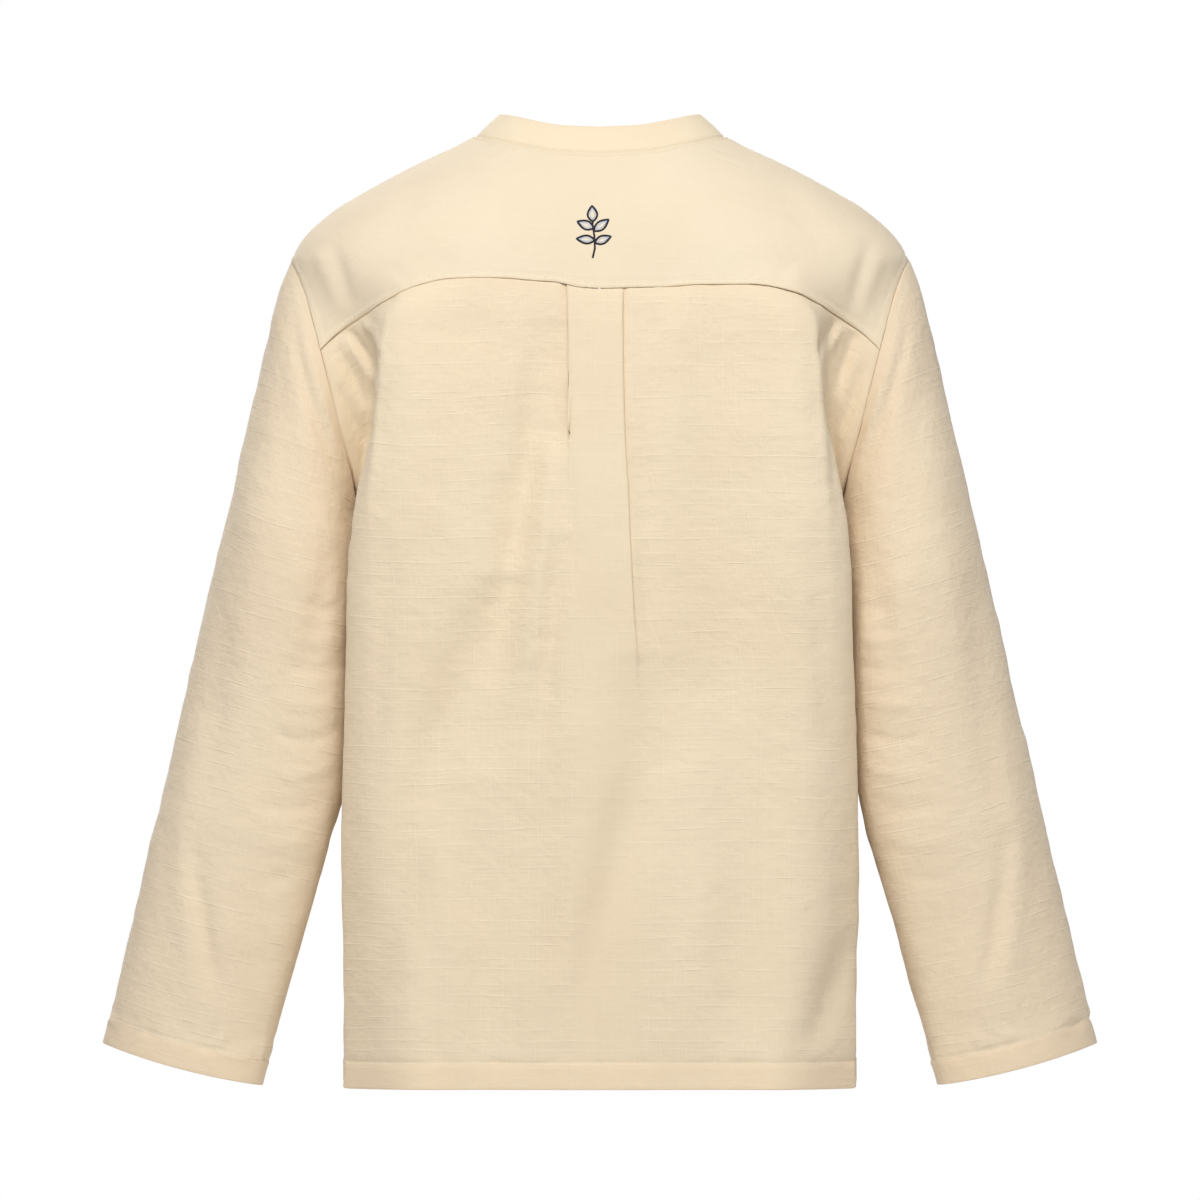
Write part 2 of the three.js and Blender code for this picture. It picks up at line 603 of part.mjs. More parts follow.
// The outer fold's right or left half, from its middle outwards, as distance from the middle and proudness.
function pleatHalf(z) {
  const { half, under, rise, open } = Object.fromEntries(
    Object.entries(pleat).map(([name, at]) => [name, at(z)]),
  );
  const round = Math.min(1, under / (4 * TIP));
  const folded = [
    [half - TIP * round, rise],
    [half, rise - LAYER / 2],
    [half - TIP * round, rise - LAYER],
    [half - under + TUCK * round, rise - LAYER],
    [half - under, rise - LAYER - TUCK / 2],
    [half - under + TUCK * round, rise - LAYER - TUCK],
    [half - 1, rise - LAYER - TUCK],
    [half + 7, 0],
    [half + 24, 0],
  ];
  const opened = [
    [half, rise],
    [half + 4, rise * 0.96],
    [half + 8, rise * 0.88],
    [half + 14, rise * 0.68],
    [half + 18, rise * 0.5],
    [half + 22, rise * 0.34],
    [half + 28, rise * 0.14],
    [half + 36, 0],
    [half + 44, 0],
  ];
  return folded.map(([across, proud], i) => [
    lerp(across, opened[i][0], open),
    lerp(proud, opened[i][1], open),
  ]);
}

// Heights of a column of the back, from its top seam to the hem. The side column follows the armhole's
// steps.
function columnHeights(share, top) {
  const heights = [top];
  const steps = SEGMENTS / 2;
  const seamTop = armholeZ(YOKE_BACK_STEPS);
  for (let step = YOKE_BACK_STEPS + 1; step <= steps; step += 1) {
    const even = (step - YOKE_BACK_STEPS) / (steps - YOKE_BACK_STEPS);
    const atSeam = (armholeZ(step) - seamTop) / (UNDERARM_Z - seamTop);
    const down = lerp(even, atSeam, Math.abs(share) ** 3);
    heights.push(Math.abs(share) === 1 ? armholeZ(step) : lerp(top, UNDERARM_Z, down));
  }
  return [...heights, ...LOWER_ROWS];
}

function backPanel() {
  const skin = new Skin();
  const topOf = (share) => yokeSeamZ(Math.abs(share)) - SEAM_GAP / 2;
  const folds = pleatHalf(0).map((_, i) => i);
  const plainColumn = (share) =>
    columnHeights(share, topOf(share)).map((z) => bodyPoint(BACK, atSideSeam(share, z), z));
  const columns = [
    ...SIDE_SHARES.map((share) => plainColumn(share)).reverse(),
    ...folds.map((i) => pleatColumn(i, 1, topOf)).reverse(),
    pleatColumn(null, 0, topOf),
    ...folds.map((i) => pleatColumn(i, -1, topOf)),
    ...SIDE_SHARES.map((share) => plainColumn(-share)),
  ];
  const rows = columns[0].map((_, j) => columns.map((column) => column[j]));
  skin.grid(rows, bodyHemCloth);
  return { name: "back_panel", colour: COLOURS.body, skin };
}

// One column of the pleat. Index null is the middle of its outer fold.
function pleatColumn(index, side, topOf) {
  return columnHeights(0, topOf(0)).map((z, j) => {
    const [across, proud] = index === null ? [0, pleat.rise(z)] : pleatHalf(z)[index];
    const x = pleat.middle(z) + side * across;
    const share = (x / BLADE_X) * HANG_SHARES[1];
    return bodyPoint(BACK, share, j === 0 ? topOf(share) - PLEAT_DROP : z, proud);
  });
}

// The front's columns, by their share of the way to its side edge, which is first the yoke and then the
// armhole.
const FRONT_COLUMNS = [0, 0.1, 0.2, 0.3, 0.4, 0.5, 0.58, 0.66, 0.73, 0.8, 0.87, 0.94, 1];
const NECK_SHARES = FRONT_COLUMNS.map((column) => column * YOKE_FRONT_FIRST.share);
const slitShare = (half) => (half / BLADE_X) * HANG_SHARES[1];

// The front's side edge, from the neck down: its share and height, with its own half of the seam gap left
// out.
function frontEdge() {
  const edge = YOKE_FRONT.slice(0, -1).map(({ share, z }) => {
    return { share: share - SEAM_SHARE, z: z - flapGap(z) };
  });
  edge.push({ share: 1, z: YOKE_FRONT_LAST.z - SEAM_GAP / 2 });
  for (let step = YOKE_FRONT_STEPS + 1; step <= SEGMENTS / 2; step += 1) {
    edge.push({ share: 1, z: armholeZ(step) });
  }
  return [...edge, ...LOWER_ROWS.map((z) => ({ share: 1, z }))];
}

function frontPanel() {
  const skin = new Skin();
  const edge = frontEdge();
  for (const side of [1, -1]) {
    const rows = edge.map((end) => {
      const down = Math.min(1, (edge[0].z - end.z) / (edge[0].z - UNDERARM_Z));
      return FRONT_COLUMNS.map((column, i) => {
        const z = end.z < UNDERARM_Z ? end.z : lerp(neckZ(FRONT, NECK_SHARES[i]), UNDERARM_Z, down);
        if (i === 0) return slitPoint(side, z);
        if (column === 1) return bodyPoint(FRONT, side * atSideSeam(end.share, end.z), end.z);
        return bodyPoint(FRONT, side * column * end.share, z);
      });
    });
    skin.grid(side > 0 ? rows : rows.map((row) => row.reverse()), bodyHemCloth);
  }
  return { name: "front_panel", colour: COLOURS.body, skin };
}

// A point of the centre line, which the slit parts at its upper end.
function slitPoint(side, z) {
  if (z <= SLIT_END_Z) return bodyPoint(FRONT, 0, z);
  const half = lerp(SLIT_HALF_END, SLIT_HALF_TOP, ease(SLIT_END_Z, neckZ(FRONT, 0), z));
  return bodyPoint(FRONT, side * slitShare(half), z);
}

// ---- Sleeves ----

const sleeveRow = curves(SLEEVE_ROWS.map((row, i) => ({ ...row, row: i })), "row");
const ATTACHED_ROWS = 1.5; // rows over which the armhole's own shape fades from the sleeve
const SLEEVE_HEM_ROW = SLEEVE_ROWS.length - 2; // the row at the hem's upper edge
const HEM_ROW_STEP = 0.02; // the share of a row over which the wall thickens there
const SLEEVE_SAMPLES = [
  ...[0, 0.5, 1, 1.6, 2.3, 3, 4, 5, 6, 7, 8, 9, 10, 11],
  ...[SLEEVE_HEM_ROW - HEM_ROW_STEP, SLEEVE_HEM_ROW + HEM_ROW_STEP, SLEEVE_HEM_ROW + 1],
];

// x of the sleeve's outer edge, which runs straight below the shoulder.
const sleeveOuterX = (z) => shoulder.width(z) + SLEEVE_SLOPE * Math.max(0, HANGING_Z - z);

// A point of the left sleeve's outer skin, on a slanting ring that starts on the armhole.
function sleevePoint(angle, row) {
  const ringPoint = (at, depth) => {
    const outer = new THREE.Vector3(sleeveOuterX(sleeveRow.outerZ(at)), 0, sleeveRow.outerZ(at));
    const inner = new THREE.Vector3(sleeveRow.innerX(at), 0, sleeveRow.innerZ(at));
    const point = outer.lerp(inner, (1 - Math.cos(angle)) / 2);
    point.y = depth * Math.sin(angle);
    return point;
  };
  const attached = Math.max(0, 1 - row / ATTACHED_ROWS) ** 2;
  const toArmhole = armhole(angle).sub(ringPoint(0, ARMHOLE_DEPTH));
  const gap = new THREE.Vector3(SEAM_GAP, 0, -SEAM_GAP * Math.max(0, Math.cos(angle)));
  return ringPoint(row, sleeveRow.depth(row)).addScaledVector(toArmhole, attached).add(gap);
}

function sleeve(side) {
  const skin = new Skin();
  const rows = SLEEVE_SAMPLES.map((row) => {
    const ring = [];
    for (let i = 0; i <= SEGMENTS; i += 1) {
      const point = sleevePoint(((i % SEGMENTS) * 2 * Math.PI) / SEGMENTS, row);
      point.x *= side;
      ring.push(point);
    }
    return side > 0 ? ring : ring.reverse();
  });
  const { outerZ, innerZ, innerX } = SLEEVE_ROWS[SLEEVE_HEM_ROW];
  const outerX = sleeveOuterX(outerZ);
  skin.grid(rows, (point) => {
    const u = (Math.abs(point.x) - outerX) / (innerX - outerX);
    return point.z < lerp(outerZ, innerZ, u) ? HEM_CLOTH : CLOTH;
  });
  return { name: side > 0 ? "sleeve_left" : "sleeve_right", colour: COLOURS.sleeve, skin };
}

// ---- Collar band ----

function collarColumn(face, share) {
  const base = bodyPoint(face, share, neckZ(face, share));
  const inward = new THREE.Vector3(-base.x, NECK_CENTRE_Y - base.y, 0).normalize();
  const end = face === BACK ? COLLAR.back : COLLAR.front;
  const toSide = inward.x * inward.x;
  const lean = lerp(end.lean, COLLAR.side.lean, toSide);
  const rise = lerp(end.rise, COLLAR.side.rise, toSide);
  const up = new THREE.Vector3(inward.x * lean, inward.y * lean, rise);
  const start = SEAM_GAP / up.length();
  return [1, 0.5, start].map((height) => {
    const bulge = COLLAR_BULGE * 4 * height * (1 - height);
    return base.clone().addScaledVector(up, height).addScaledVector(inward, -bulge);
  });
}

function collarBand() {
  const skin = new Skin();
  const flapShare = (step) => lerp(1, YOKE_FRONT_FIRST.share, step / YOKE_FRONT_STEPS);
  const flap = [2, 1, 0].map(flapShare);
  const front = [slitShare(SLIT_HALF_TOP), ...NECK_SHARES.slice(1), ...flap];
  const back = YOKE_SHARES.slice(1, -1).reverse();
  const half = (side) => [
    ...front.map((share) => collarColumn(FRONT, side * share)),
    ...back.map((share) => collarColumn(BACK, side * share)),
  ];
  const columns = [...half(1), collarColumn(BACK, 0), ...half(-1).reverse()];
  skin.grid([0, 1, 2].map((j) => columns.map((column) => column[j])), () => COLLAR_CLOTH);
  return { name: "collar_band", colour: COLOURS.collar, skin };
}

// ---- The tunic ----

const pieces = [collarBand(), yoke(), backPanel(), frontPanel(), sleeve(1), sleeve(-1)];
const inwards = inwardDirections(pieces.map((piece) => piece.skin));
const tunic = new THREE.Group();
pieces.forEach((piece, i) => tunic.add(clothMesh(piece, piece.skin.wall(inwards[i]))));

export default tunic;
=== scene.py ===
import math

import bpy
import numpy as np
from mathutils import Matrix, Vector
from mathutils.bvhtree import BVHTree
from mathutils.kdtree import KDTree


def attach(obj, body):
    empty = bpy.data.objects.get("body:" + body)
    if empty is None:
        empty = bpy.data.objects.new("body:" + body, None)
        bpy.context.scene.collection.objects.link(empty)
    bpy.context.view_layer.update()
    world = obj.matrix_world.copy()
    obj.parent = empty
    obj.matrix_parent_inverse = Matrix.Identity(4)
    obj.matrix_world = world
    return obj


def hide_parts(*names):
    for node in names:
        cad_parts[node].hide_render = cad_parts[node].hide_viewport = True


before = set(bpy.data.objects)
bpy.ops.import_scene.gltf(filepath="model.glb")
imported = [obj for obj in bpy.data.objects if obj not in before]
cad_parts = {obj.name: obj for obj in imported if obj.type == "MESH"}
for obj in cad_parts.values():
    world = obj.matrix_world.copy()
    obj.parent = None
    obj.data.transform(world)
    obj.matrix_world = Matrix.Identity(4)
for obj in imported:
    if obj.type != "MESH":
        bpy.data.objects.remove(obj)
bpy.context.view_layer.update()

# A loose tunic of crinkled double gauze: collar band, yoke, pleated back, slit front and two sleeves.
# Shapes are worked out in millimetres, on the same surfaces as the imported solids, and turned to metres last.
# +X is the wearer's left, -Y the front, +Z up, and the origin lies between the shoulders.

MM = 0.001
CLOTH = 1.2
HEM_CLOTH = 2.2
COLLAR_CLOTH = 1.8
SEAM_CLOTH = 1.9  # cloth and its seam allowance
ALLOWANCE = 9  # width of the seam allowances inside
SEAM_GAP = 0.16  # between two pieces' edges, before they roll in
GRID = 3.4  # usual distance between grid lines
BODY_HEM_Z = -715
BODY_HEM = 20
SLEEVE_HEM = 19
ABOVE_HEM_Z = -655  # heights between the hem, or the cuffs, and the seams
ABOVE_CUFF_Z = -600
SHOULDER_END_Z = -93
HANGING_Z = -140
UNDERARM_Z = -276
UNDERARM_X = 181
ARMHOLE_LEAN = 0.253  # how far the armhole goes out for each millimetre up
ARMHOLE_FLICK = 5.2  # and how much further at its top
ARMHOLE_DEPTH = 50
ARMHOLE_STEPS = 12  # from the shoulder round the back to the underarm
SLIT_END_Z = -250
SLIT_HALF_TOP = 1.5
SLIT_HALF_END = 0.3
SLIT_STITCH = 5  # from the slit's edges to their topstitching
SLIT_STITCH_Z = -80  # where that starts
SLEEVE_SLOPE = 0.2324
SLEEVE_POWER = 0.6  # of the section beside the body: under 1 for one squarer than an ellipse
SLEEVE_BACK = 13  # how far back it hangs there
CUFF_DROP = 3.5  # how far the middle of the cuff's edge hangs below its ends
HEM_LIFT = 4  # how far the body's hem rises at the side seams


def table(names, *rows):
    """The columns of a table, by name."""
    return dict(zip(names.split(), np.array(rows, dtype=float).T))


# Half-width, back depth and front depth of the shoulders, cut level at z.
SHOULDER = table(
    "z width back front",
    (0, 93, 54, 50),
    (-1, 97, 55, 50.8),
    (-4, 102.5, 57, 52.6),
    (-8, 110, 59.5, 55),
    (-20, 135.5, 67, 61),
    (-32, 159.5, 74, 66.5),
    (-44, 181, 80, 72.5),
    (-56, 201.5, 85.5, 78),
    (-68, 216.5, 90, 82),
    (-80, 226.5, 93.5, 86.5),
    (-93, 232.5, 96.5, 91),
    (-110, 239, 100, 94.5),
    (-125, 243.5, 103, 97.5),
    (HANGING_Z, 247, 105, 100),
)
# The hanging body, cut level at z: depth at the centre, its fall towards the blade, the corner where the
# cloth turns to the side and its radius, and the valley behind that corner.
BACK_ROWS = table(
    "z centre fall cornerX cornerY radius valleyX valleyY",
    (-93, 96.5, 4, 165, 86, 8, 186, 62),
    (-125, 103, 4, 165, 92, 8, 178, 62),
    (-160, 107, 4, 167, 97, 8, 173, 57),
    (-200, 111, 4, 169, 101, 9, 172, 51),
    (-240, 113, 4, 177, 102, 10, 173, 43),
    (-276, 114, 4, 183, 102, 11, 175, 38),
    (-330, 115, 4, 188, 98, 12, 180, 39),
    (-400, 115, 5, 189, 96, 14, 183, 41),
    (-470, 116, 5, 191, 95, 16, 188, 43),
    (-540, 118, 6, 191, 96, 18, 192, 46),
    (-620, 121, 6, 188, 99, 22, 192, 50),
    (-715, 125, 7, 184, 108, 26, 192, 54),
)
FRONT_ROWS = table(
    "z centre fall cornerX cornerY radius valleyX valleyY",
    (-93, 91, 4, 163, 78, 10, 187, 58),
    (-125, 97, 5, 163, 82, 10, 183, 58),
    (-160, 102, 5, 164, 86, 10, 177, 57),
    (-200, 106, 4, 167, 90, 11, 176, 54),
    (-240, 109, 4, 172, 92, 12, 176, 48),
    (-276, 111, 4, 176, 93, 13, 177, 44),
    (-330, 112, 4, 181, 93, 14, 180, 43),
    (-400, 113, 5, 186, 93, 16, 183, 43),
    (-470, 114, 5, 189, 93, 18, 188, 45),
    (-540, 116, 6, 190, 94, 20, 191, 48),
    (-620, 118, 6, 188, 97, 24, 192, 51),
    (-715, 121, 7, 184, 101, 28, 191, 54),
)
SIDE_SEAM = table(
    "z x",
    (UNDERARM_Z, UNDERARM_X),
    (-300, 178.5),
    (-340, 176),
    (-400, 176),
    (-470, 180),
    (-540, 188),
    (-620, 191),
    (-715, 192),
)
SHARES = table("share degrees", (0, 0), (0.3, 18), (0.58, 39), (0.66, 42), (0.8, 52), (1, 90))
BLADE_X = 85
HANG_SHARES = SHARES["share"]
TO_SHARE = HANG_SHARES[1] / BLADE_X  # share of the half-width for each millimetre near the centre
FOLDS_FADE = 0.56  # shares between which the large folds die out
FOLDS_END = 0.68
NECK_BACK = table(
    "degrees z", (0, -13.3), (16, -11.5), (33, -7), (44, -4.2), (56, -1.9), (67, -0.8), (90, 0)
)
NECK_FRONT = table(
    "degrees z",
    (0, -72), (6, -69), (11, -62), (18.6, -48), (28.3, -30),
    (38.6, -17), (50, -7.5), (59.6, -3.2), (75, -0.8), (90, 0),
)
YOKE_SEAM = table(
    "share z",
    (0, -113), (0.16, -113), (0.28, -111.5), (0.43, -111.5), (0.58, -118),
    (0.66, -123), (0.8, -134), (0.9, -145), (1, -160.8),
)
# How far the seam of this tunic is drawn up or down from that line, from the right side to the left.
YOKE_SET = table(
    "share z",
    (-1, 0), (-0.62, 0), (-0.3, -0.6), (-0.1, -1.4), (0, -2), (0.05, -1), (0.13, 3.2), (0.36, 4.5), (0.52, 3),
    (0.66, 0.6), (0.8, 0), (1, 0),
)
YOKE_FRONT = table(
    "row share z ridge",
    (0, 0.84, -3.2, 0),
    (1, 0.85, -12, -6),
    (2, 0.86, -30, -18),
    (3, 0.88, -60, -44),
    (4, 0.91, -86, -70),
    (5, 0.955, -104, -84),
    (6, 1, -119.8, SHOULDER_END_Z),
)
# The box pleat: middle and half-width of its outer fold, and how proud it stands. Then, for its left and
# right edges, how far the cloth is folded under and how far the fold has opened out.
PLEAT = table(
    "z middle half rise leftUnder leftOpen rightUnder rightOpen",
    (-108, 4, 20.6, 1.0, 15, 0, 15, 0),
    (-150, 3.5, 20.8, 2.4, 9, 0.04, 15, 0),
    (-200, 3, 21, 3.4, 5, 0.2, 15, 0),
    (-250, 1, 21.3, 4.4, 3, 0.55, 14, 0),
    (-300, -1.5, 21.5, 5.0, 3, 0.85, 12, 0.02),
    (-350, -3.6, 21.7, 5.4, 2.5, 1, 9, 0.16),
    (-390, -5, 22, 5.4, 2.2, 1, 6, 0.5),
    (-430, -6, 22, 5.2, 2, 1, 4, 0.84),
    (-480, -6, 22.3, 5.0, 1, 1, 2, 1),
    (-600, -5, 24, 4.4, 1, 1, 1, 1),
    (-715, -4, 26, 3, 1, 1, 1, 1),
)
PLEAT_OPENED = table(
    "past share",
    (0, 1), (4, 0.96), (8, 0.88), (14, 0.68), (18, 0.5), (22, 0.34), (28, 0.14), (36, 0), (44, 0),
)
LAYER = 3  # from the pleat's outer layer to the next, from that to the last, and the radius of its edges
TUCK = 0.6
TIP = 1.5

# Large soft folds of the body: their line, half-width and depth.
FOLD = "x0 z0 x1 z1 x2 z2 half depth"
BACK_FOLDS = table(
    FOLD,
    (39, -139, 71, -349, 86, -480, 14, -7),
    (36, -230, 46, -330, 56, -440, 11, 5),
    (74, -330, 120, -450, 172, -650, 22, -9),
    (-31, -390, -34, -470, 25, -690, 20, -8),
    (-190, -600, -180, -640, -160, -685, 16, -8),
    (100, -150, 104, -300, 120, -430, 24, 4),
    (-100, -150, -96, -350, -104, -560, 30, -4),
    (30, -300, 39, -385, 45, -470, 9, -3.5),
    (128, -500, 112, -610, 100, -712, 20, 4.5),
    (-70, -420, -82, -560, -60, -705, 26, 4.5),
)
FRONT_FOLDS = table(
    FOLD,
    (130, -150, 118, -340, 100, -560, 24, -6.5),
    (-136, -140, -120, -300, -92, -520, 22, -6.5),
    (40, -330, 34, -480, 44, -690, 28, 5),
    (-46, -380, -60, -520, -70, -700, 24, -6),
    (90, -450, 96, -580, 84, -708, 22, -5),
)
SLEEVE_ROWS = table(
    "row outerZ innerZ innerX depth",
    (0, SHOULDER_END_Z, UNDERARM_Z, UNDERARM_X, 50),
    (1, -126, -283, 180.5, 54),
    (2, -158, -295, 181, 58),
    (3, -192, -312, 182, 61),
    (4, -230, -334, 184, 63),
    (5, -275, -362, 186, 64),
    (6, -325, -396, 188, 62),
    (7, -382, -440, 189, 59),
    (8, -440, -488, 192.5, 56),
    (9, -500, -544, 206.5, 53.5),
    (10, -560, -600, 222.5, 51.5),
    (11, -615, -651, 237, 50),
    (12, -664, -695, 249.5, 48.5),
    (13, -682, -713, 254.5, 48),
)
CUFF_STITCH_ROW = 12
COLLAR_LEAN = {"back": 14, "side": 18, "front": 11}
COLLAR_RISE = {"back": 20, "side": 17, "front": 21}
COLLAR_BULGE = 0.8
NECK_CENTRE_Y = -8

# Fine creases that only the cloth has, as the lines they follow in x and z, half-width and depth.
CREASES = {
    "back_panel": table(
        FOLD,
        (194, -140, 182, -156, 169, -178, 3.6, -4.2),
        (198, -158, 187, -178, 176, -204, 4, -4),
        (190, -150, 180, -168, 168, -192, 3, 2.6),
        (184, -133, 173, -144, 162, -164, 3, 2.8),
        (196, -186, 188, -206, 178, -232, 4, -3),
        (-196, -140, -186, -164, -176, -196, 4, -4),
        (-190, -138, -176, -152, -166, -178, 3, 2.8),
        (-198, -170, -190, -196, -180, -226, 4, -3.4),
        (-184, -134, -172, -146, -162, -168, 3.4, -3),
        (36, -120, 30, -230, 22, -360, 9, -2.6),
        (-29, -118, -36, -280, -34, -420, 7, -1.8),
        (62, -120, 66, -200, 60, -300, 8, 1.4),
        (-70, -118, -84, -200, -80, -310, 12, -1.4),
        (-52, -116, -58, -160, -56, -230, 7, 1.0),
        (92, -116, 98, -150, 100, -210, 7, -1.0),
        (-120, -122, -132, -220, -138, -330, 12, -1.6),
        (132, -120, 140, -220, 146, -360, 12, 1.6),
        (24, -186, 21, -270, 17, -390, 1.8, -0.8),
        (160, -126, 165, -200, 175, -300, 3.2, 1.8),
        (169, -130, 173, -200, 183, -290, 3.6, -3),
        (-160, -126, -163, -180, -173, -300, 3, 2),
        (-168, -130, -171, -190, -181, -290, 3.4, -3.2),
        (20, -430, 12, -540, 30, -690, 14, 2.2),
        (-60, -470, -76, -580, -70, -700, 18, 2.2),
        (96, -520, 84, -610, 92, -705, 16, -2.4),
        (-130, -430, -120, -560, -132, -690, 18, -2.0),
        (150, -560, 138, -640, 142, -708, 12, 2.0),
        (-186, -590, -176, -640, -150, -700, 10, -2.8),
        (160, -300, 166, -420, 170, -540, 9, -2.0),
        (-160, -290, -168, -400, -172, -520, 9, -2.2),
        (60, -640, 64, -670, 58, -694, 5, -0.9),
        (-96, -640, -92, -670, -98, -694, 5, -0.9),
        (8, -650, 4, -672, 10, -694, 4, -0.8),
        (118, -660, 122, -680, 116, -696, 4, -0.8),
        (-150, -664, -146, -680, -152, -696, 4, -0.7),
    ),
    "front_panel": table(
        FOLD,
        (186, -150, 172, -172, 160, -206, 5, -2.4),
        (-188, -146, -176, -176, -158, -204, 5, -2.6),
        (178, -190, 168, -220, 160, -260, 6, 1.6),
        (-176, -196, -166, -228, -160, -262, 6, 1.6),
        (70, -130, 88, -230, 92, -340, 12, -2.0),
        (-64, -128, -84, -220, -96, -350, 12, -2.0),
        (20, -262, 30, -360, 24, -470, 10, -1.6),
        (-16, -262, -28, -350, -36, -480, 10, 1.5),
        (140, -430, 130, -560, 142, -690, 18, 2.2),
        (-140, -400, -134, -540, -150, -690, 18, -2.4),
        (0, -520, 12, -610, 2, -700, 18, -2.2),
        (86, -560, 78, -640, 86, -704, 10, -1.6),
        (-100, -600, -94, -650, -104, -704, 10, 1.4),
        (184, -590, 172, -640, 150, -700, 10, -2.6),
    ),
    "yoke": table(
        FOLD,
        (128, -30, 150, -60, 176, -104, 12, -1.5),
        (-124, -28, -152, -62, -180, -108, 12, -1.7),
        (60, -30, 96, -70, 120, -108, 14, 1.0),
        (-40, -34, -70, -70, -96, -106, 14, 0.9),
        (202, -78, 194, -104, 186, -132, 5, -2.2),
        (-204, -76, -196, -104, -188, -134, 5, -2.2),
        (214, -84, 206, -104, 196, -134, 5, 1.6),
        (-212, -88, -204, -108, -196, -136, 5, 1.6),
        (-150, -90, -138, -104, -126, -116, 5, -0.9),
        (158, -96, 146, -108, 132, -120, 5, -0.9),
    ),
    "sleeve": table(
        FOLD,
        (233, -136, 217, -198, 197, -254, 4.5, -3.2),
        (226, -150, 205, -215, 190, -280, 9, 2.2),
        (246, -150, 236, -230, 226, -330, 12, -2.2),
        (203, -300, 212, -360, 232, -420, 10, -2.6),
        (262, -240, 262, -330, 276, -430, 14, 2.0),
        (281, -330, 288, -420, 300, -510, 12, -2.4),
        (300, -430, 308, -500, 316, -560, 10, 1.8),
        (307, -520, 297, -596, 288, -640, 6, -3.4),
        (318, -500, 310, -600, 303, -660, 9, 2.4),
        (262, -560, 258, -620, 262, -690, 12, -2.0),
        (192, -350, 205, -356, 222, -350, 5, -1.3),
        (193, -372, 210, -380, 232, -376, 5, 1.2),
        (194, -394, 212, -402, 238, -396, 5, -1.5),
        (196, -418, 216, -428, 246, -424, 5, 1.4),
        (195, -442, 216, -454, 250, -448, 5, -1.6),
        (197, -468, 222, -480, 256, -474, 5, 1.4),
        (204, -494, 228, -506, 262, -498, 6, -1.5),
        (214, -520, 236, -532, 266, -526, 6, 1.2),
        (226, -548, 244, -558, 268, -556, 6, -1.1),
        (288, -668, 293, -676, 300, -680, 3.5, -1.8),
        (278, -670, 284, -680, 288, -690, 3.5, 1.6),
        (306, -664, 310, -670, 316, -674, 3.5, -1.2),
    ),
}
CREASE_STEPS = 10

BASE = {
    "body": (0.835, 0.700, 0.505),
    "yoke": (0.836, 0.714, 0.526),
    "collar": (0.850, 0.720, 0.520),
    "sleeve": (0.820, 0.680, 0.492),
    "thread": (0.900, 0.800, 0.630),
    "navy": (0.008, 0.010, 0.026),
    "pale_blue": (0.560, 0.660, 0.800),
}


# ---- Curves and surfaces ----

def lerp(a, b, u):
    return a + (b - a) * u


def unit(vectors):
    return vectors / np.maximum(np.linalg.norm(vectors, axis=-1, keepdims=True), 1e-9)


def ease(low, high, x):
    u = np.clip((x - low) / (high - low), 0, 1)
    return u * u * (3 - 2 * u)


def hermite(x0, x1, y0, y1, slope0, slope1, x):
    h = x1 - x0
    u = (x - x0) / h
    v = u - 1
    return y0 * (1 + 2 * u) * v * v + y1 * u * u * (3 - 2 * u) + h * (slope0 * u * v * v + slope1 * u * u * v)


def curve(rows, key, column):
    """A curve through one column of a table, without overshoot."""
    order = np.argsort(rows[key])
    xs = rows[key][order]
    ys = rows[column][order]
    steps = np.diff(ys) / np.diff(xs)
    before, after = steps[:-1], steps[1:]
    total = np.where(before + after == 0, 1, before + after)
    inner = np.where(before * after <= 0, 0, 2 * before * after / total)
    slopes = np.concatenate(([steps[0]], inner, [steps[-1]]))

    def at(x):
        x = np.clip(x, xs[0], xs[-1])
        i = np.clip(np.searchsorted(xs, x) - 1, 0, len(xs) - 2)
        return hermite(xs[i], xs[i + 1], ys[i], ys[i + 1], slopes[i], slopes[i + 1], x)

    return at


def curves(rows, key):
    return {column: curve(rows, key, column) for column in rows if column != key}


shoulder = curves(SHOULDER, "z")
side_seam_x = curve(SIDE_SEAM, "z", "x")
yoke_seam_even = curve(YOKE_SEAM, "share", "z")
yoke_set = curve(YOKE_SET, "share", "z")
yoke_front = curves(YOKE_FRONT, "row")
pleat = curves(PLEAT, "z")
pleat_opened = curve(PLEAT_OPENED, "past", "share")
sleeve_row = curves(SLEEVE_ROWS, "row")
BACK = {"sign": 1, "depth": "back", "rows": curves(BACK_ROWS, "z"),
        "neck": curve(NECK_BACK, "degrees", "z"), "folds": BACK_FOLDS}
FRONT = {"sign": -1, "depth": "front", "rows": curves(FRONT_ROWS, "z"),
         "neck": curve(NECK_FRONT, "degrees", "z"), "folds": FRONT_FOLDS}
ARMHOLE_MIDDLE = (SHOULDER_END_Z + UNDERARM_Z) / 2
ARMHOLE_HALF = (SHOULDER_END_Z - UNDERARM_Z) / 2


def degrees_at(share):
    return np.interp(share, SHARES["share"], SHARES["degrees"])


def yoke_seam_z(share):
    return yoke_seam_even(np.abs(share)) + yoke_set(share)


def neck_z(face, share):
    return face["neck"](degrees_at(np.abs(share)))


def armhole(angle):
    """The left armhole seam, by its angle from the shoulder over the back to the underarm."""
    z = ARMHOLE_MIDDLE + ARMHOLE_HALF * np.cos(angle)
    flick = ARMHOLE_FLICK * np.maximum(0, np.cos(angle)) ** 6
    return UNDERARM_X + ARMHOLE_LEAN * (z - UNDERARM_Z) + flick, ARMHOLE_DEPTH * np.sin(angle), z


def armhole_z(step):
    return armhole(step * math.pi / ARMHOLE_STEPS)[2]


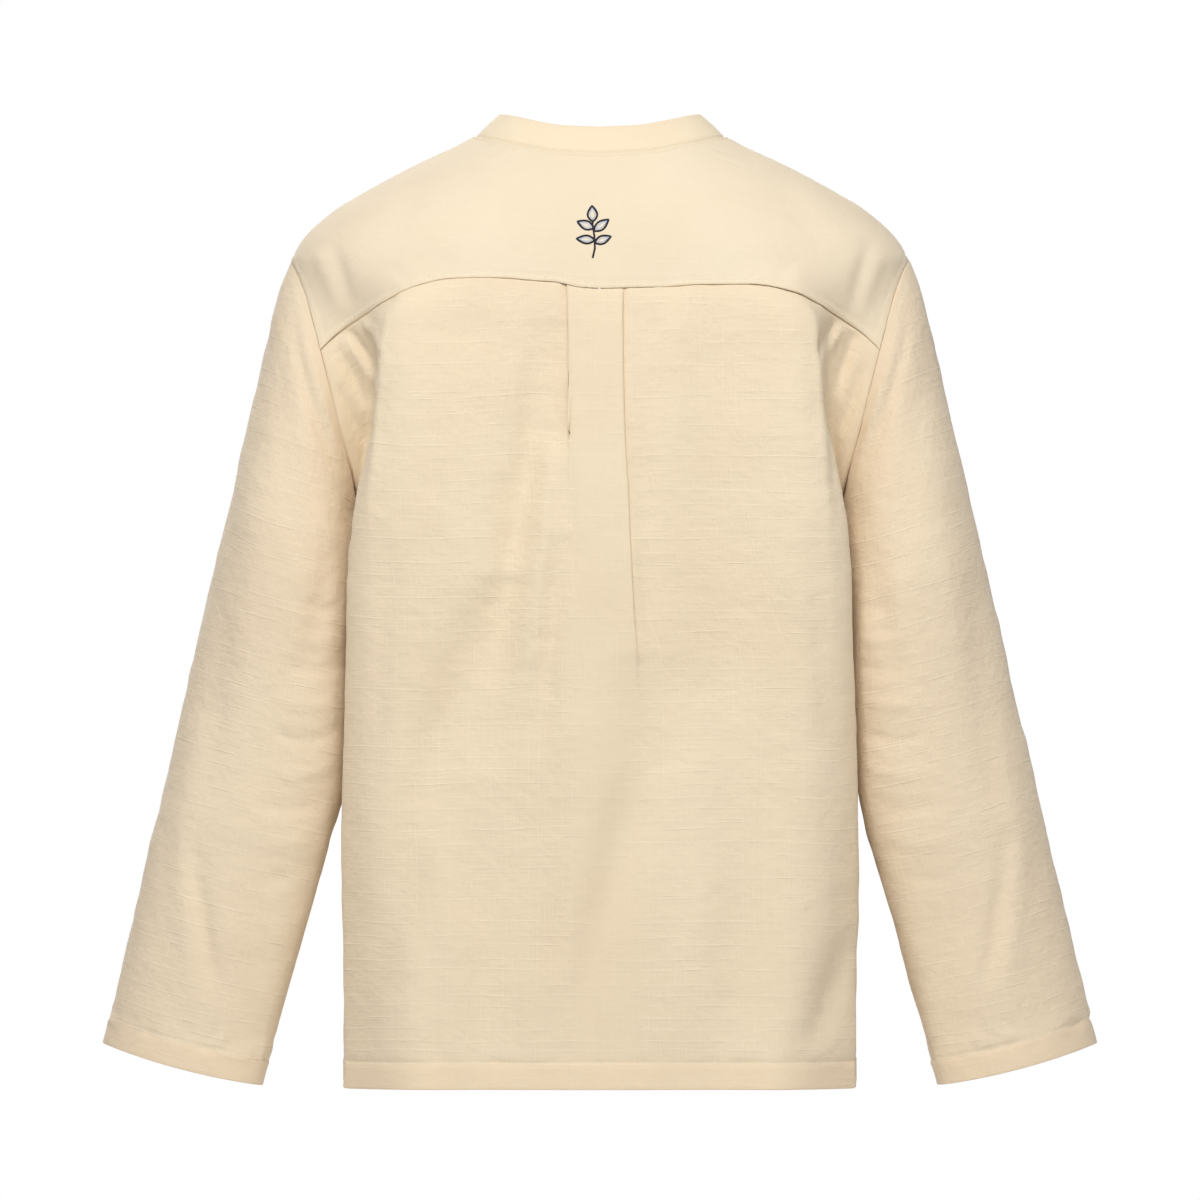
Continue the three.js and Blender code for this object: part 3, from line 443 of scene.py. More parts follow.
def section_end(z):
    x, y, _ = armhole(np.arccos(np.clip((z - ARMHOLE_MIDDLE) / ARMHOLE_HALF, -1, 1)))
    above = z >= SHOULDER_END_Z
    below = z <= UNDERARM_Z
    x = np.where(above, shoulder["width"](z), np.where(below, side_seam_x(z), x))
    return x, np.where(above | below, 0, y)


def shoulder_section(face, share, z):
    power = lerp(1, 0.87, ease(-13, SHOULDER_END_Z, z))
    width = shoulder["width"](z)
    depth = shoulder[face["depth"]](z)
    end_x, end_y = section_end(z)
    end_angle = np.arccos(np.minimum(1, (end_y / depth) ** (1 / power)))

    def at(degrees):
        angle = degrees / 90 * end_angle
        return width * np.sin(angle) ** power, depth * np.maximum(0, np.cos(angle)) ** power

    x, y = at(degrees_at(share))
    loose_x, loose_y = at(90)
    pull = ease(0.6, 1, share)
    return x + (end_x - loose_x) * pull, y + (end_y - loose_y) * pull


def along_section(values, share, start_slope, end_slope):
    gaps = np.diff(HANG_SHARES).reshape((-1,) + (1,) * share.ndim)
    steps = np.diff(values, axis=0) / gaps
    inner = (steps[:-1] * gaps[1:] + steps[1:] * gaps[:-1]) / (gaps[1:] + gaps[:-1])
    slopes = np.concatenate((start_slope[None], inner, end_slope[None]))
    i = np.clip(np.searchsorted(HANG_SHARES, share) - 1, 0, len(HANG_SHARES) - 2)

    def pick(array, j):
        return np.take_along_axis(array, j[None], axis=0)[0]

    return hermite(HANG_SHARES[i], HANG_SHARES[i + 1], pick(values, i), pick(values, i + 1),
                   pick(slopes, i), pick(slopes, i + 1), share)


def hanging_section(face, share, z):
    row = {name: at(z) for name, at in face["rows"].items()}
    end_x, end_y = section_end(z)
    corner_x = row["cornerX"]
    xs = np.stack((0 * z, 0 * z + BLADE_X, corner_x - row["radius"], corner_x, row["valleyX"], end_x))
    ys = np.stack((row["centre"], row["centre"] - row["fall"], row["cornerY"],
                   row["cornerY"] - 1.3 * row["radius"], row["valleyY"], end_y))
    reach = HANG_SHARES[-1] - HANG_SHARES[-2]
    above = ease(UNDERARM_Z, UNDERARM_Z + 40, z)
    out_x = (end_x - row["valleyX"]) / reach
    out_y = (end_y - row["valleyY"]) / reach
    end_slope = lerp(-row["valleyY"] / reach, out_y, above)
    return (along_section(xs, share, 0 * z + BLADE_X / HANG_SHARES[1], out_x * above),
            along_section(ys, share, 0 * z, end_slope))


def fold_depth(folds, x, z):
    total = 0
    for x0, z0, x1, z1, x2, z2, half, depth in zip(*folds.values()):
        along = (z0 - z) / (z0 - z2)
        bend = (z0 - z1) / (z0 - z2)
        line = np.where(along < bend, lerp(x0, x1, along / bend), lerp(x1, x2, (along - bend) / (1 - bend)))
        inside = np.clip(along, 0, 1)
        strength = np.abs(np.sin(np.pi * inside ** 0.8)) ** 0.8
        total = total + depth * strength * np.exp(-(((x - line) / half) ** 2))
    return total


def body_point(face, share, z, proud=0):
    """Points of the body's outer skin. share runs from -1 at the right side to 1 at the left."""
    share, z = np.broadcast_arrays(np.asarray(share, float), np.asarray(z, float))
    s = np.abs(share)
    upper = shoulder_section(face, s, z)
    lower = hanging_section(face, s, z)
    hang = ease(SHOULDER_END_Z, HANGING_Z, z)
    x = lerp(upper[0], lower[0], hang) * np.sign(share)
    y = lerp(upper[1], lower[1], hang)
    free = 1 - ease(FOLDS_FADE, FOLDS_END, s)
    y = y + (fold_depth(face["folds"], x, z) + proud) * free
    raised = z + HEM_LIFT * ease(0.66, 0.95, s) * ease(BODY_HEM_Z + 40, BODY_HEM_Z, z)
    return np.stack((x, face["sign"] * y, raised), axis=-1)


def steps(length, first=(), last=(), grid=GRID):
    """Shares of a length: even steps, with finer ones at the given distances from its two ends."""
    start = [0, *first]
    end = [length - at for at in reversed((0, *last))]
    count = max(2, round((end[0] - start[-1]) / grid))
    return np.array([*start[:-1], *np.linspace(start[-1], end[0], count + 1), *end[1:]]) / length


# Distances from seams and hems that get a grid line of their own.
SEAM_STEPS = (0.5, 1.1, 2, 3, 3.75, 4.5, 6)
SLIM_STEPS = (0.5, 1.1, 2, 3.5)


def hem_steps(height):
    return (0.6, 1.6, 3.4, 6.8, 10.2, 13.6, height - 2.5, height - 0.8, height, height + 0.8, height + 2.5)


# ---- Walls of cloth ----

LATTICE = 64


def noise(u, v, wide, high, seed):
    """Smooth noise from -1 to 1 over u and v, with lumps of the given width and height."""
    lattice = np.random.default_rng(seed).uniform(-1, 1, (LATTICE, LATTICE))
    a, b = u / wide, v / high
    i, j = np.floor(a).astype(int), np.floor(b).astype(int)
    s, t = a - i, b - j
    s, t = s * s * (3 - 2 * s), t * t * (3 - 2 * t)

    def corner(di, dj):
        return lattice[(i + di) % LATTICE, (j + dj) % LATTICE]

    return lerp(lerp(corner(0, 0), corner(1, 0), s), lerp(corner(0, 1), corner(1, 1), s), t)


def arc_lengths(points, axis):
    gaps = np.linalg.norm(np.diff(points, axis=axis), axis=-1)
    pad = [(0, 0)] * gaps.ndim
    pad[axis] = (1, 0)
    return np.pad(np.cumsum(gaps, axis=axis), pad)


def tree_of(points):
    tree = KDTree(len(points))
    for k, point in enumerate(points):
        tree.insert(Vector(point), k)
    tree.balance()
    return tree


class Skin:
    """One piece's outer skin under construction: grids of points that weld where they meet."""

    def __init__(self, name):
        self.name = name
        self.points = []
        self.uvs = []
        self.plain = []
        self.quads = []
        self.count = 0

    def grid(self, points, centre=0, flip=False, plain=0):
        """Seen from outside, the rows run down and the points from left to right, unless flipped.
        centre is the column that the threads are counted from, plain how far the crinkle is pressed out.
        Crosswise threads are counted from the last row, where they run straight."""
        rows, columns = points.shape[:2]
        ids = self.count + np.arange(rows * columns).reshape(rows, columns)
        quads = np.stack((ids[:-1, :-1], ids[1:, :-1], ids[1:, 1:], ids[:-1, 1:]), axis=-1).reshape(-1, 4)
        across = arc_lengths(points, 1)
        across = (across - across[:, centre:centre + 1]) * (1 if flip else -1)
        along = arc_lengths(points, 0)
        uv = np.stack((across, along[-1:] - along), axis=-1)
        self.points.append(points.reshape(-1, 3))
        self.uvs.append(uv.reshape(-1, 2))
        self.plain.append(np.broadcast_to(plain, (rows, columns)).reshape(-1))
        self.quads.append(quads[:, ::-1] if flip else quads)
        self.count += rows * columns

    def weld(self):
        points = np.concatenate(self.points)
        uvs = np.concatenate(self.uvs)
        plain = np.concatenate(self.plain)
        quads = np.concatenate(self.quads)
        keys = np.round(points * 500).astype(np.int64)
        _, first, inverse = np.unique(keys, axis=0, return_index=True, return_inverse=True)
        inverse = inverse.reshape(-1)
        self.P = points[first]
        self.plain = plain[first]
        self.corner_uvs = uvs[quads]
        self.Q = inverse[quads]
        self.soft_uv = uvs[first]
        self.N = self.normals(self.P)
        self.edges = self.open_edges()
        self.rim = np.unique(self.edges)
        tree = tree_of(self.P[self.rim])
        near = [tree.find(Vector(point)) for point in self.P]
        self.rim_of = np.array([hit[1] for hit in near])
        self.edge_distance = np.array([hit[2] for hit in near])

    def smooth(self, weight, rounds=12):
        """Softens kinks where weight is over 0. The open edges stay in place."""
        a, b = np.unique(np.sort(self.sides(), axis=1), axis=0).T
        a, b = a[a != b], b[a != b]
        degree = np.bincount(a, minlength=len(self.P)) + np.bincount(b, minlength=len(self.P))
        weight = np.where(np.isin(np.arange(len(self.P)), self.rim), 0, weight)[:, None]
        for _ in range(rounds):
            sums = np.zeros_like(self.P)
            np.add.at(sums, a, self.P[b])
            np.add.at(sums, b, self.P[a])
            self.P = lerp(self.P, sums / degree[:, None], 0.6 * weight)
        self.N = self.normals(self.P)

    def normals(self, points):
        a, b, c, d = (points[self.Q[:, k]] for k in range(4))
        face = unit(np.cross(c - a, d - b))
        sums = np.zeros_like(points)
        for k in range(4):
            np.add.at(sums, self.Q[:, k], face)
        return unit(sums)

    def sides(self):
        """Every side of every quad, as two points."""
        return np.concatenate([self.Q[:, [k, (k + 1) % 4]] for k in range(4)])

    def open_edges(self):
        size = len(self.P)
        pairs = self.sides()
        pairs = pairs[pairs[:, 0] != pairs[:, 1]]
        codes = pairs[:, 0] * size + pairs[:, 1]
        reverse = pairs[:, 1] * size + pairs[:, 0]
        return pairs[~np.isin(codes, reverse)]


def crease_depth(creases, x, z):
    """How far fine creases move the cloth at x, z. Each follows a curve and fades at both ends."""
    total = np.zeros_like(x)
    u = np.linspace(0, 1, CREASE_STEPS + 1)

    def through(start, middle, end):
        return (1 - u) ** 2 * start + 2 * u * (1 - u) * (2 * middle - (start + end) / 2) + u * u * end

    for x0, z0, x1, z1, x2, z2, half, depth in zip(*creases.values()):
        line_x, line_z = through(x0, x1, x2), through(z0, z1, z2)
        reach = 3 * half
        near = ((x > line_x.min() - reach) & (x < line_x.max() + reach)
                & (z > line_z.min() - reach) & (z < line_z.max() + reach))
        px, pz = x[near], z[near]
        best = np.full(px.shape, 1e9)
        along = np.zeros(px.shape)
        for k in range(CREASE_STEPS):
            dx, dz = line_x[k + 1] - line_x[k], line_z[k + 1] - line_z[k]
            t = np.clip(((px - line_x[k]) * dx + (pz - line_z[k]) * dz) / (dx * dx + dz * dz), 0, 1)
            distance = np.hypot(px - line_x[k] - t * dx, pz - line_z[k] - t * dz)
            along = np.where(distance < best, (k + t) / CREASE_STEPS, along)
            best = np.minimum(distance, best)
        total[near] += depth * np.sin(np.pi * along) ** 0.7 * np.exp(-((best / half) ** 2))
    return total


# How far each piece's edges roll in at the seams.
ROLL = {"yoke": 0.36, "collar_band": 0.75, "back_panel": 0.8, "front_panel": 0.7, "sleeve_left": 0.4,
        "sleeve_right": 0.4}
ROLL_REACH = 2.8
NO_STITCHES = 50  # a distance that keeps the topstitching's groove off a piece
HEM_PRESSED = 0.6
HEM_GROOVE = 0.8  # depth of the topstitching's groove in a hem, and beside a seam
SEAM_GROOVE = 0.5
GROOVE_HALF = 1.2
HEM_PUFF = 0.8  # how proud the cloth stands between the topstitching and a hem's edge, or a seam
SEAM_PUFF = 0.4
PUCKER = 0.32  # how far the cloth ripples beside a seam, and how soon that fades
PUCKER_REACH = 7
CUFF_GATHER = 2.4  # how strongly the cloth is gathered by a hem's topstitching
HEM_GATHER = 0.9
# Uneven lumps all over the cloth, and beside a hem's topstitching: width, height and depth.
LUMPS = ((52, 38, 0.9), (19, 13, 0.42))
HEM_LUMPS = ((15, 9, 0.7), (6, 11, 0.4))
RIM_STEPS = 3
SEAM_REACH = 4  # how far from a seam the two pieces share one way out


def lumps(u, v, sizes, seed):
    """How far a point is moved by lumps of several sizes."""
    return sum(depth * noise(u, v, wide, high, seed + k) for k, (wide, high, depth) in enumerate(sizes))


def is_hem(skin, points):
    """Whether rim points lie on a turned hem and not on a seam."""
    if skin.name.startswith("sleeve"):
        return points[:, 2] < ABOVE_CUFF_Z
    if skin.name == "collar_band":
        return skin.free_edge[skin.rim]
    slit = (skin.name == "front_panel") & (np.abs(points[:, 0]) < 4) & (points[:, 2] > SLIT_END_Z - 2)
    return (points[:, 2] < BODY_HEM_Z + 1) | slit


def seam_directions(skins):
    """The way out at each rim point: halfway between the two pieces' own normals where two pieces meet."""
    tree = tree_of(np.concatenate([skin.P[skin.rim] for skin in skins]))
    owners = [(skin, skin.N[i]) for skin in skins for i in skin.rim]
    for skin in skins:
        shared = []
        for i in skin.rim:
            own = skin.N[i]
            others = [owners[k] for _, k, _ in tree.find_range(Vector(skin.P[i]), SEAM_REACH)]
            others = [normal for owner, normal in others if owner is not skin]
            shared.append(unit(own + min(others, key=own.dot) if others else own))
        skin.shared = np.array(shared)


def finish_skin(skin, material):
    """Creases, seams and hems on one skin, then the closed wall as a Blender object."""
    P, N = skin.P, skin.N
    x, y, z = P.T
    u, v = skin.soft_uv.T
    side = 1 if skin.name != "sleeve_right" else -1
    family = "sleeve" if skin.name.startswith("sleeve") else skin.name
    rim_hem = is_hem(skin, P[skin.rim])
    hem_edge = rim_hem[skin.rim_of]
    distance = skin.edge_distance
    seamward = np.where(hem_edge, 99, distance)

    move = np.zeros(len(P))
    if family in CREASES:
        deep = crease_depth(CREASES[family], side * x, z)
        if family == "sleeve":
            deep = deep * np.where(y > 0, 1, -0.8)
        if family == "yoke":
            deep = deep * (y > 0)
        move += deep * ease(0, 7, distance)
    seed = sum(map(ord, skin.name))
    calm = 1 - 0.75 * skin.plain
    move += calm * lumps(u, v, LUMPS, seed)
    move += PUCKER * np.exp(-seamward / PUCKER_REACH) * noise(u + v, u - v, 9, 9, seed + 2)
    move -= ROLL[skin.name] * np.clip(1 - seamward / ROLL_REACH, 0, 1) ** 2

    stitched = distance - skin.stitch_at  # negative between the topstitching and the edge
    move -= np.where(hem_edge, HEM_GROOVE, SEAM_GROOVE) * np.exp(-((stitched / GROOVE_HALF) ** 2))
    puff = np.where(hem_edge, HEM_PUFF, SEAM_PUFF) * (hem_edge | (family == "yoke"))
    move += puff * ease(GROOVE_HALF, -1.6, stitched)
    reach = np.where(stitched > 0, 11, 5)
    gather = CUFF_GATHER if family == "sleeve" else HEM_GATHER
    gathered = gather * np.exp(-np.abs(stitched) / reach) * hem_edge
    move += gathered * lumps(u, v, HEM_LUMPS, seed + 5)
    skin.turned = ease(0.6, -0.6, stitched) * hem_edge

    out = unit(lerp(skin.shared[skin.rim_of], N, ease(0, SEAM_REACH, distance)[:, None]))
    outer = P + out * move[:, None]

    thickness = np.where(seamward < ALLOWANCE, SEAM_CLOTH, CLOTH)
    thickness = np.where(hem_edge & (stitched < 0), HEM_CLOTH, thickness)
    if skin.name == "collar_band":
        thickness[:] = COLLAR_CLOTH
    inner = outer - out * thickness[:, None]
    build_wall(skin, outer, inner, rim_hem, out, distance, seamward)
    o = skin.object
    o.data.materials.append(material)
    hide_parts(skin.name)
    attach(o, "root")
    return o


def build_wall(skin, outer, inner, rim_hem, out, distance, seamward):
    """The closed wall between the two skins, with rounded rims."""
    count = len(outer)
    quads = [skin.Q, skin.Q[:, ::-1] + count]
    uvs = [skin.corner_uvs, skin.corner_uvs[:, ::-1]]
    start, end = skin.edges.T
    slot_of = np.full(count, -1)
    slot_of[skin.rim] = np.arange(len(skin.rim))
    tangent = np.zeros_like(outer)
    for ends in (start, end):
        np.add.at(tangent, ends, outer[end] - outer[start])
    rim = skin.rim
    away = unit(np.cross(tangent[rim], out[rim]))
    layers = [rim]
    extra = []
    for k in range(1, RIM_STEPS):
        part = k / RIM_STEPS
        bulge = np.where(rim_hem, 0.55, 0.0) * math.sin(math.pi * part)
        extra.append(lerp(outer[rim], inner[rim], part) + away * bulge[:, None])
        layers.append(2 * count + (k - 1) * len(rim) + np.arange(len(rim)))
    layers.append(rim + count)
    points = np.concatenate((outer, inner, *extra))
    a, b = slot_of[start], slot_of[end]
    for upper, lower in zip(layers, layers[1:]):
        quads.append(np.stack((upper[b], upper[a], lower[a], lower[b]), axis=1))
        uvs.append(skin.soft_uv[np.stack((end, start, start, end), axis=1)])
    skin.object = mesh_object(skin.name + "_cloth", points * MM, np.concatenate(quads),
                              np.concatenate(uvs) * MM)
    # The edge values drive painted shade: a darker, warmer band along every seam and edge.
    for name, values in (("plain", np.clip(skin.plain + ease(9, 3, seamward), 0, 1)),
                         ("edge", ease(5, 0, distance)), ("hem", skin.turned)):
        values = np.concatenate((values, values, np.tile(values[rim], RIM_STEPS - 1)))
        attribute = skin.object.data.attributes.new(name, "FLOAT", "POINT")
        attribute.data.foreach_set("value", values.astype(np.float32))


def add_object(name, data):
    o = bpy.data.objects.new(name, data)
    bpy.context.scene.collection.objects.link(o)
    return o


def mesh_object(name, points, quads, uvs=None):
    """A smooth mesh of quads. A quad with two equal corners becomes a triangle."""
    mesh = bpy.data.meshes.new(name)
    keep = np.ones(quads.shape, bool)
    for k in range(4):
        keep[:, k] = quads[:, k] != quads[:, k - 1]
    sizes = keep.sum(axis=1)
    whole = sizes >= 3
    keep &= whole[:, None]
    loops = quads[keep]
    sizes = sizes[whole]
    mesh.vertices.add(len(points))
    mesh.vertices.foreach_set("co", points.astype(np.float32).ravel())
    mesh.loops.add(len(loops))
    mesh.loops.foreach_set("vertex_index", loops.astype(np.int32))
    mesh.polygons.add(len(sizes))
    starts = np.concatenate(([0], np.cumsum(sizes)[:-1]))
    mesh.polygons.foreach_set("loop_start", starts.astype(np.int32))
    mesh.polygons.foreach_set("loop_total", sizes.astype(np.int32))
    mesh.polygons.foreach_set("use_smooth", np.ones(len(sizes), bool))
    if uvs is not None:
        layer = mesh.uv_layers.new(name="threads")
        layer.data.foreach_set("uv", uvs[keep].astype(np.float32).ravel())
    mesh.update()
    mesh.validate()
    return add_object(name, mesh)


# ---- The pieces ----

YOKE_CORNER_STEP = 5  # the armhole's step at the yoke's lower corner
YOKE_FRONT_STEP = 3  # and at its front corner
YOKE_STITCH = 3.75  # from the yoke's edges to its topstitching
PLEAT_PRESSED = 0.7  # how far the crinkle is pressed out of the pleat
PLEAT_DROP = 0.4  # how far its top lies below the yoke's edge
PLEAT_END = 0.17  # the share at which the panel beside it begins
EDGE_GAP = 0.0004  # half the gap between the yoke's front edges and the front, as a share
RIDGE_ROWS = 6
FINE_GRID = 3
# How long the pieces' sides are, for grids of even steps.
RIDGE = 155
YOKE_ARMHOLE = 98
YOKE_HALF = 280
YOKE_FLAP = 34
FRONT_TOP = 165
FRONT_ARMHOLE = 178
FRONT_HALF = 300
BACK_BESIDE_PLEAT = 250
SLEEVE = 600
SLEEVE_HALF_GIRTH = 198
COLLAR_HEIGHT = 25
COLLAR_FRONT = 150
COLLAR_BACK = 115


def yoke_side_z(row):
    """Height at the side edge of the yoke's back: down the shoulder line, then down the armhole."""
    on_ridge = yoke_front["ridge"](np.minimum(row, RIDGE_ROWS))
    step = np.maximum(row - RIDGE_ROWS, 0)
    return np.where(row <= RIDGE_ROWS, on_ridge, armhole_z(step))


def corner_gap(row):
    """How far the yoke and the front each draw back in height, near their corner at the armhole."""
    return ease(60, -YOKE_FRONT["z"][-1], -yoke_front["z"](row)) * SEAM_GAP / 2


def yoke():
    skin = Skin("yoke")
    ridge = steps(RIDGE, SEAM_STEPS, (), FINE_GRID) * RIDGE_ROWS
    lower = RIDGE_ROWS + steps(YOKE_ARMHOLE, (), SEAM_STEPS, FINE_GRID) * YOKE_CORNER_STEP
    row = np.concatenate((ridge, lower[1:]))[:, None]
    half = steps(YOKE_HALF, (), SLIM_STEPS, FINE_GRID)
    share = np.concatenate((half[::-1], -half[1:]))[None, :]
    corner_z = armhole_z(YOKE_CORNER_STEP) + SEAM_GAP / 2
    side_z = lerp(yoke_side_z(row), yoke_side_z(row) + SEAM_GAP / 2, row == row[-1])
    top = neck_z(BACK, share)
    bottom = yoke_seam_z(share) + SEAM_GAP / 2
    level = np.where(np.abs(share) == 1, side_z, lerp(top, bottom, side_z / corner_z))
    skin.grid(body_point(BACK, share, level), centre=len(half) - 1, plain=0.85)

    r = ridge[:, None]
    u = steps(YOKE_FLAP, (), SEAM_STEPS, FINE_GRID)[::-1][None, :]
    neck = neck_z(FRONT, lerp(1, YOKE_FRONT["share"][0], u)) - lerp(0, YOKE_FRONT["z"][0], u)
    arm = armhole_z(u * YOKE_FRONT_STEP) - lerp(SHOULDER_END_Z, YOKE_FRONT["z"][-1], u)
    z = lerp(yoke_front["ridge"](r), yoke_front["z"](r), u) + lerp(neck, arm, r / RIDGE_ROWS)
    z = z + np.where(u == 1, corner_gap(r), 0)
    edge = np.where(r == RIDGE_ROWS, 1, yoke_front["share"](r) + EDGE_GAP)
    flap_share = lerp(1, edge, u)
    for side in (1, -1):
        skin.grid(body_point(FRONT, side * flap_share, z), flip=side < 0, plain=0.85)
    skin.weld()
    x, _, z = skin.P.T
    skin.smooth(ease(130, 170, np.abs(x)) * ease(-50, -70, z), 40)
    skin.stitch_at = np.full(len(skin.P), YOKE_STITCH)
    return skin


def pleat_profile(z, edge):
    """The pleat's half section at each height: distance from its middle, and how proud the skin stands."""
    names = ("half", edge + "Under", "rise", edge + "Open")
    half, under, rise, opened = (pleat[name](z)[:, None] for name in names)
    round_ = np.minimum(1, under / (4 * TIP))
    parts = []

    def part(count, folded, past, skip=1):
        t = np.linspace(0, 1, count + 1)[skip:][None, :]
        across, proud = folded(t)
        spread = half + lerp(past[0], past[1], t) if past[1] > 0 else half * t
        flat = rise * pleat_opened(np.maximum(0, spread - half))
        parts.append((lerp(across + 0 * t, spread, opened), lerp(proud + 0 * t, flat, opened)))

    tip, turn = TIP * round_, TUCK * round_
    low = rise - LAYER
    lowest = low - TUCK
    part(7, lambda t: ((half - tip) * t, rise), (0, 0), skip=0)
    part(6, lambda t: (half - tip + tip * np.sin(np.pi * t),
                       rise - LAYER / 2 * (1 - np.cos(np.pi * t))), (0, 6))
    part(4, lambda t: (lerp(half - tip, half - under + turn, t), low), (6, 10))
    part(2, lambda t: (half - under + turn - turn * np.sin(np.pi * t),
                       low - TUCK / 2 * (1 - np.cos(np.pi * t))), (10, 14))
    part(4, lambda t: (lerp(half - under + turn, half - 1, t), lowest), (14, 22))
    part(4, lambda t: (half - 1 + 8 * t, lowest * (1 - t * t * (3 - 2 * t))), (22, 32))
    part(4, lambda t: (half + 7 + 17 * t, 0 * half), (32, 44))
    return [np.concatenate(values, axis=1) for values in zip(*parts)]


def below_armhole():
    """Heights from the underarm down to the body's hem."""
    length = UNDERARM_Z - BODY_HEM_Z
    return UNDERARM_Z - length * steps(length, (), hem_steps(BODY_HEM))[1:]


def in_body_hem(points):
    return ease(BODY_HEM_Z + BODY_HEM + 1, BODY_HEM_Z + BODY_HEM - 1, points[..., 2])


def stitch_hem(skin, width, top_z):
    """Topstitching at one distance from the hem's edge, and none above the given height."""
    skin.stitch_at = np.where(skin.P[:, 2] > top_z, -float(NO_STITCHES), float(width))


def back_panel():
    skin = Skin("back_panel")
    seam_z = YOKE_SEAM["z"][0]
    upper = steps(seam_z - UNDERARM_Z, SLIM_STEPS, ())
    lower = below_armhole()
    seam_top = armhole_z(YOKE_CORNER_STEP) - SEAM_GAP / 2

    def heights(share):
        top = yoke_seam_z(share) - SEAM_GAP / 2
        v = upper[:, None]
        step = lerp(YOKE_CORNER_STEP, ARMHOLE_STEPS, v)
        at_seam = (armhole_z(step) - seam_top) / (UNDERARM_Z - seam_top)
        down = lerp(v, np.clip(at_seam, 0, 1), np.abs(share) ** 3)
        return np.concatenate((lerp(top, UNDERARM_Z, down), lower[:, None] + 0 * share))

    level = np.concatenate((lerp(seam_z, UNDERARM_Z, upper), lower))
    above = np.clip((level - UNDERARM_Z) / (seam_z - UNDERARM_Z), 0, 1)[:, None]
    middle = pleat["middle"](level)[:, None]
    blocks = []
    for side in (1, -1):
        across, proud = pleat_profile(level, "left" if side > 0 else "right")
        share = (middle + side * across) * TO_SHARE
        seam = yoke_seam_z(share) - seam_z - SEAM_GAP / 2 - PLEAT_DROP
        z = level[:, None] + seam * above
        folds = body_point(BACK, share, z, proud)
        rest = steps(BACK_BESIDE_PLEAT, (), SLIM_STEPS)[1:]
        plain_share = side * lerp(np.abs(share[:, -1:]), 1, rest[None, :])
        z = heights(side * lerp(PLEAT_END, 1, rest)[None, :])
        sides = body_point(BACK, np.clip(plain_share, -1, 1), z)
        pressed = PLEAT_PRESSED * ease(26, 20, across)
        blocks.append((np.concatenate((folds, sides), axis=1),
                       np.concatenate((pressed, 0 * plain_share), axis=1)))
    points, pressed = (np.concatenate((left[:, ::-1], right[:, 1:]), axis=1) for left, right in zip(*blocks))
    plain = np.maximum(pressed, HEM_PRESSED * in_body_hem(points))
    skin.grid(points, centre=blocks[0][0].shape[1] - 1, plain=plain)
    skin.weld()
    stitch_hem(skin, BODY_HEM, ABOVE_HEM_Z)
    return skin


def front_panel():
    skin = Skin("front_panel")
    row = steps(FRONT_TOP, SLIM_STEPS, ()) * RIDGE_ROWS
    share_edge = yoke_front["share"](row) - EDGE_GAP
    z_edge = yoke_front["z"](row) - corner_gap(row)
    share_edge[-1] = 1
    step = lerp(YOKE_FRONT_STEP, ARMHOLE_STEPS, steps(FRONT_ARMHOLE)[1:])
    lower = below_armhole()
    ends_share = np.concatenate((share_edge, np.ones(len(step) + len(lower))))[:, None]
    ends_z = np.concatenate((z_edge, armhole_z(step), lower))[:, None]
    column = steps(FRONT_HALF, (0.8, 2, 4.6, 5.4), SLIM_STEPS)[None, :]
    widest = SLIT_HALF_TOP * TO_SHARE
    neck = neck_z(FRONT, widest + column * (share_edge[0] - widest))
    down = np.clip((ends_z[0] - ends_z) / (ends_z[0] - UNDERARM_Z), 0, 1)
    z = np.where(ends_z < UNDERARM_Z, ends_z, lerp(neck, UNDERARM_Z, down))
    z[:, -1] = ends_z[:, 0]
    slit = lerp(SLIT_HALF_END, SLIT_HALF_TOP, ease(SLIT_END_Z, neck_z(FRONT, 0), z))
    slit = np.where(z <= SLIT_END_Z, 0, slit) * TO_SHARE
    share = slit + column * (ends_share - slit)
    for side in (1, -1):
        points = body_point(FRONT, side * share, z)
        skin.grid(points, centre=0, flip=side < 0, plain=HEM_PRESSED * in_body_hem(points))
    skin.weld()
    stitch_hem(skin, BODY_HEM, ABOVE_HEM_Z)
    x, _, z = skin.P.T
    skin.stitch_at[(np.abs(x) < 20) & (z > SLIT_END_Z) & (z < SLIT_STITCH_Z)] = SLIT_STITCH
    return skin


def sleeve_outer_x(z):
    return shoulder["width"](z) + SLEEVE_SLOPE * np.maximum(0, HANGING_Z - z)


def sleeve_point(angle, row):
    """Points of the left sleeve's skin, on slanting rings that start on the armhole."""
    def ring(at, depth):
        outer_z = sleeve_row["outerZ"](at)
        u = (1 - np.cos(angle)) / 2
        fullness = lerp(1, SLEEVE_POWER, ease(0, 5, at) * u)
        back = SLEEVE_BACK * ease(1, 6, at) * u
        drop = CUFF_DROP * ease(10, 13, at) * 4 * u * (1 - u)
        return np.stack((lerp(sleeve_outer_x(outer_z), sleeve_row["innerX"](at), u),
                         depth * np.sign(np.sin(angle)) * np.abs(np.sin(angle)) ** fullness + back,
                         lerp(outer_z, sleeve_row["innerZ"](at), u) - drop), axis=-1)

    angle, row = np.broadcast_arrays(angle, row)
    attached = (np.maximum(0, 1 - row / 1.5) ** 2)[..., None]
    to_armhole = np.stack(armhole(angle), axis=-1) - ring(np.zeros_like(row), ARMHOLE_DEPTH)
    gap = SEAM_GAP * np.stack((1 + 0 * angle, 0 * angle, -np.maximum(0, np.cos(angle))), axis=-1)
    return ring(row, sleeve_row["depth"](row)) + to_armhole * attached + gap


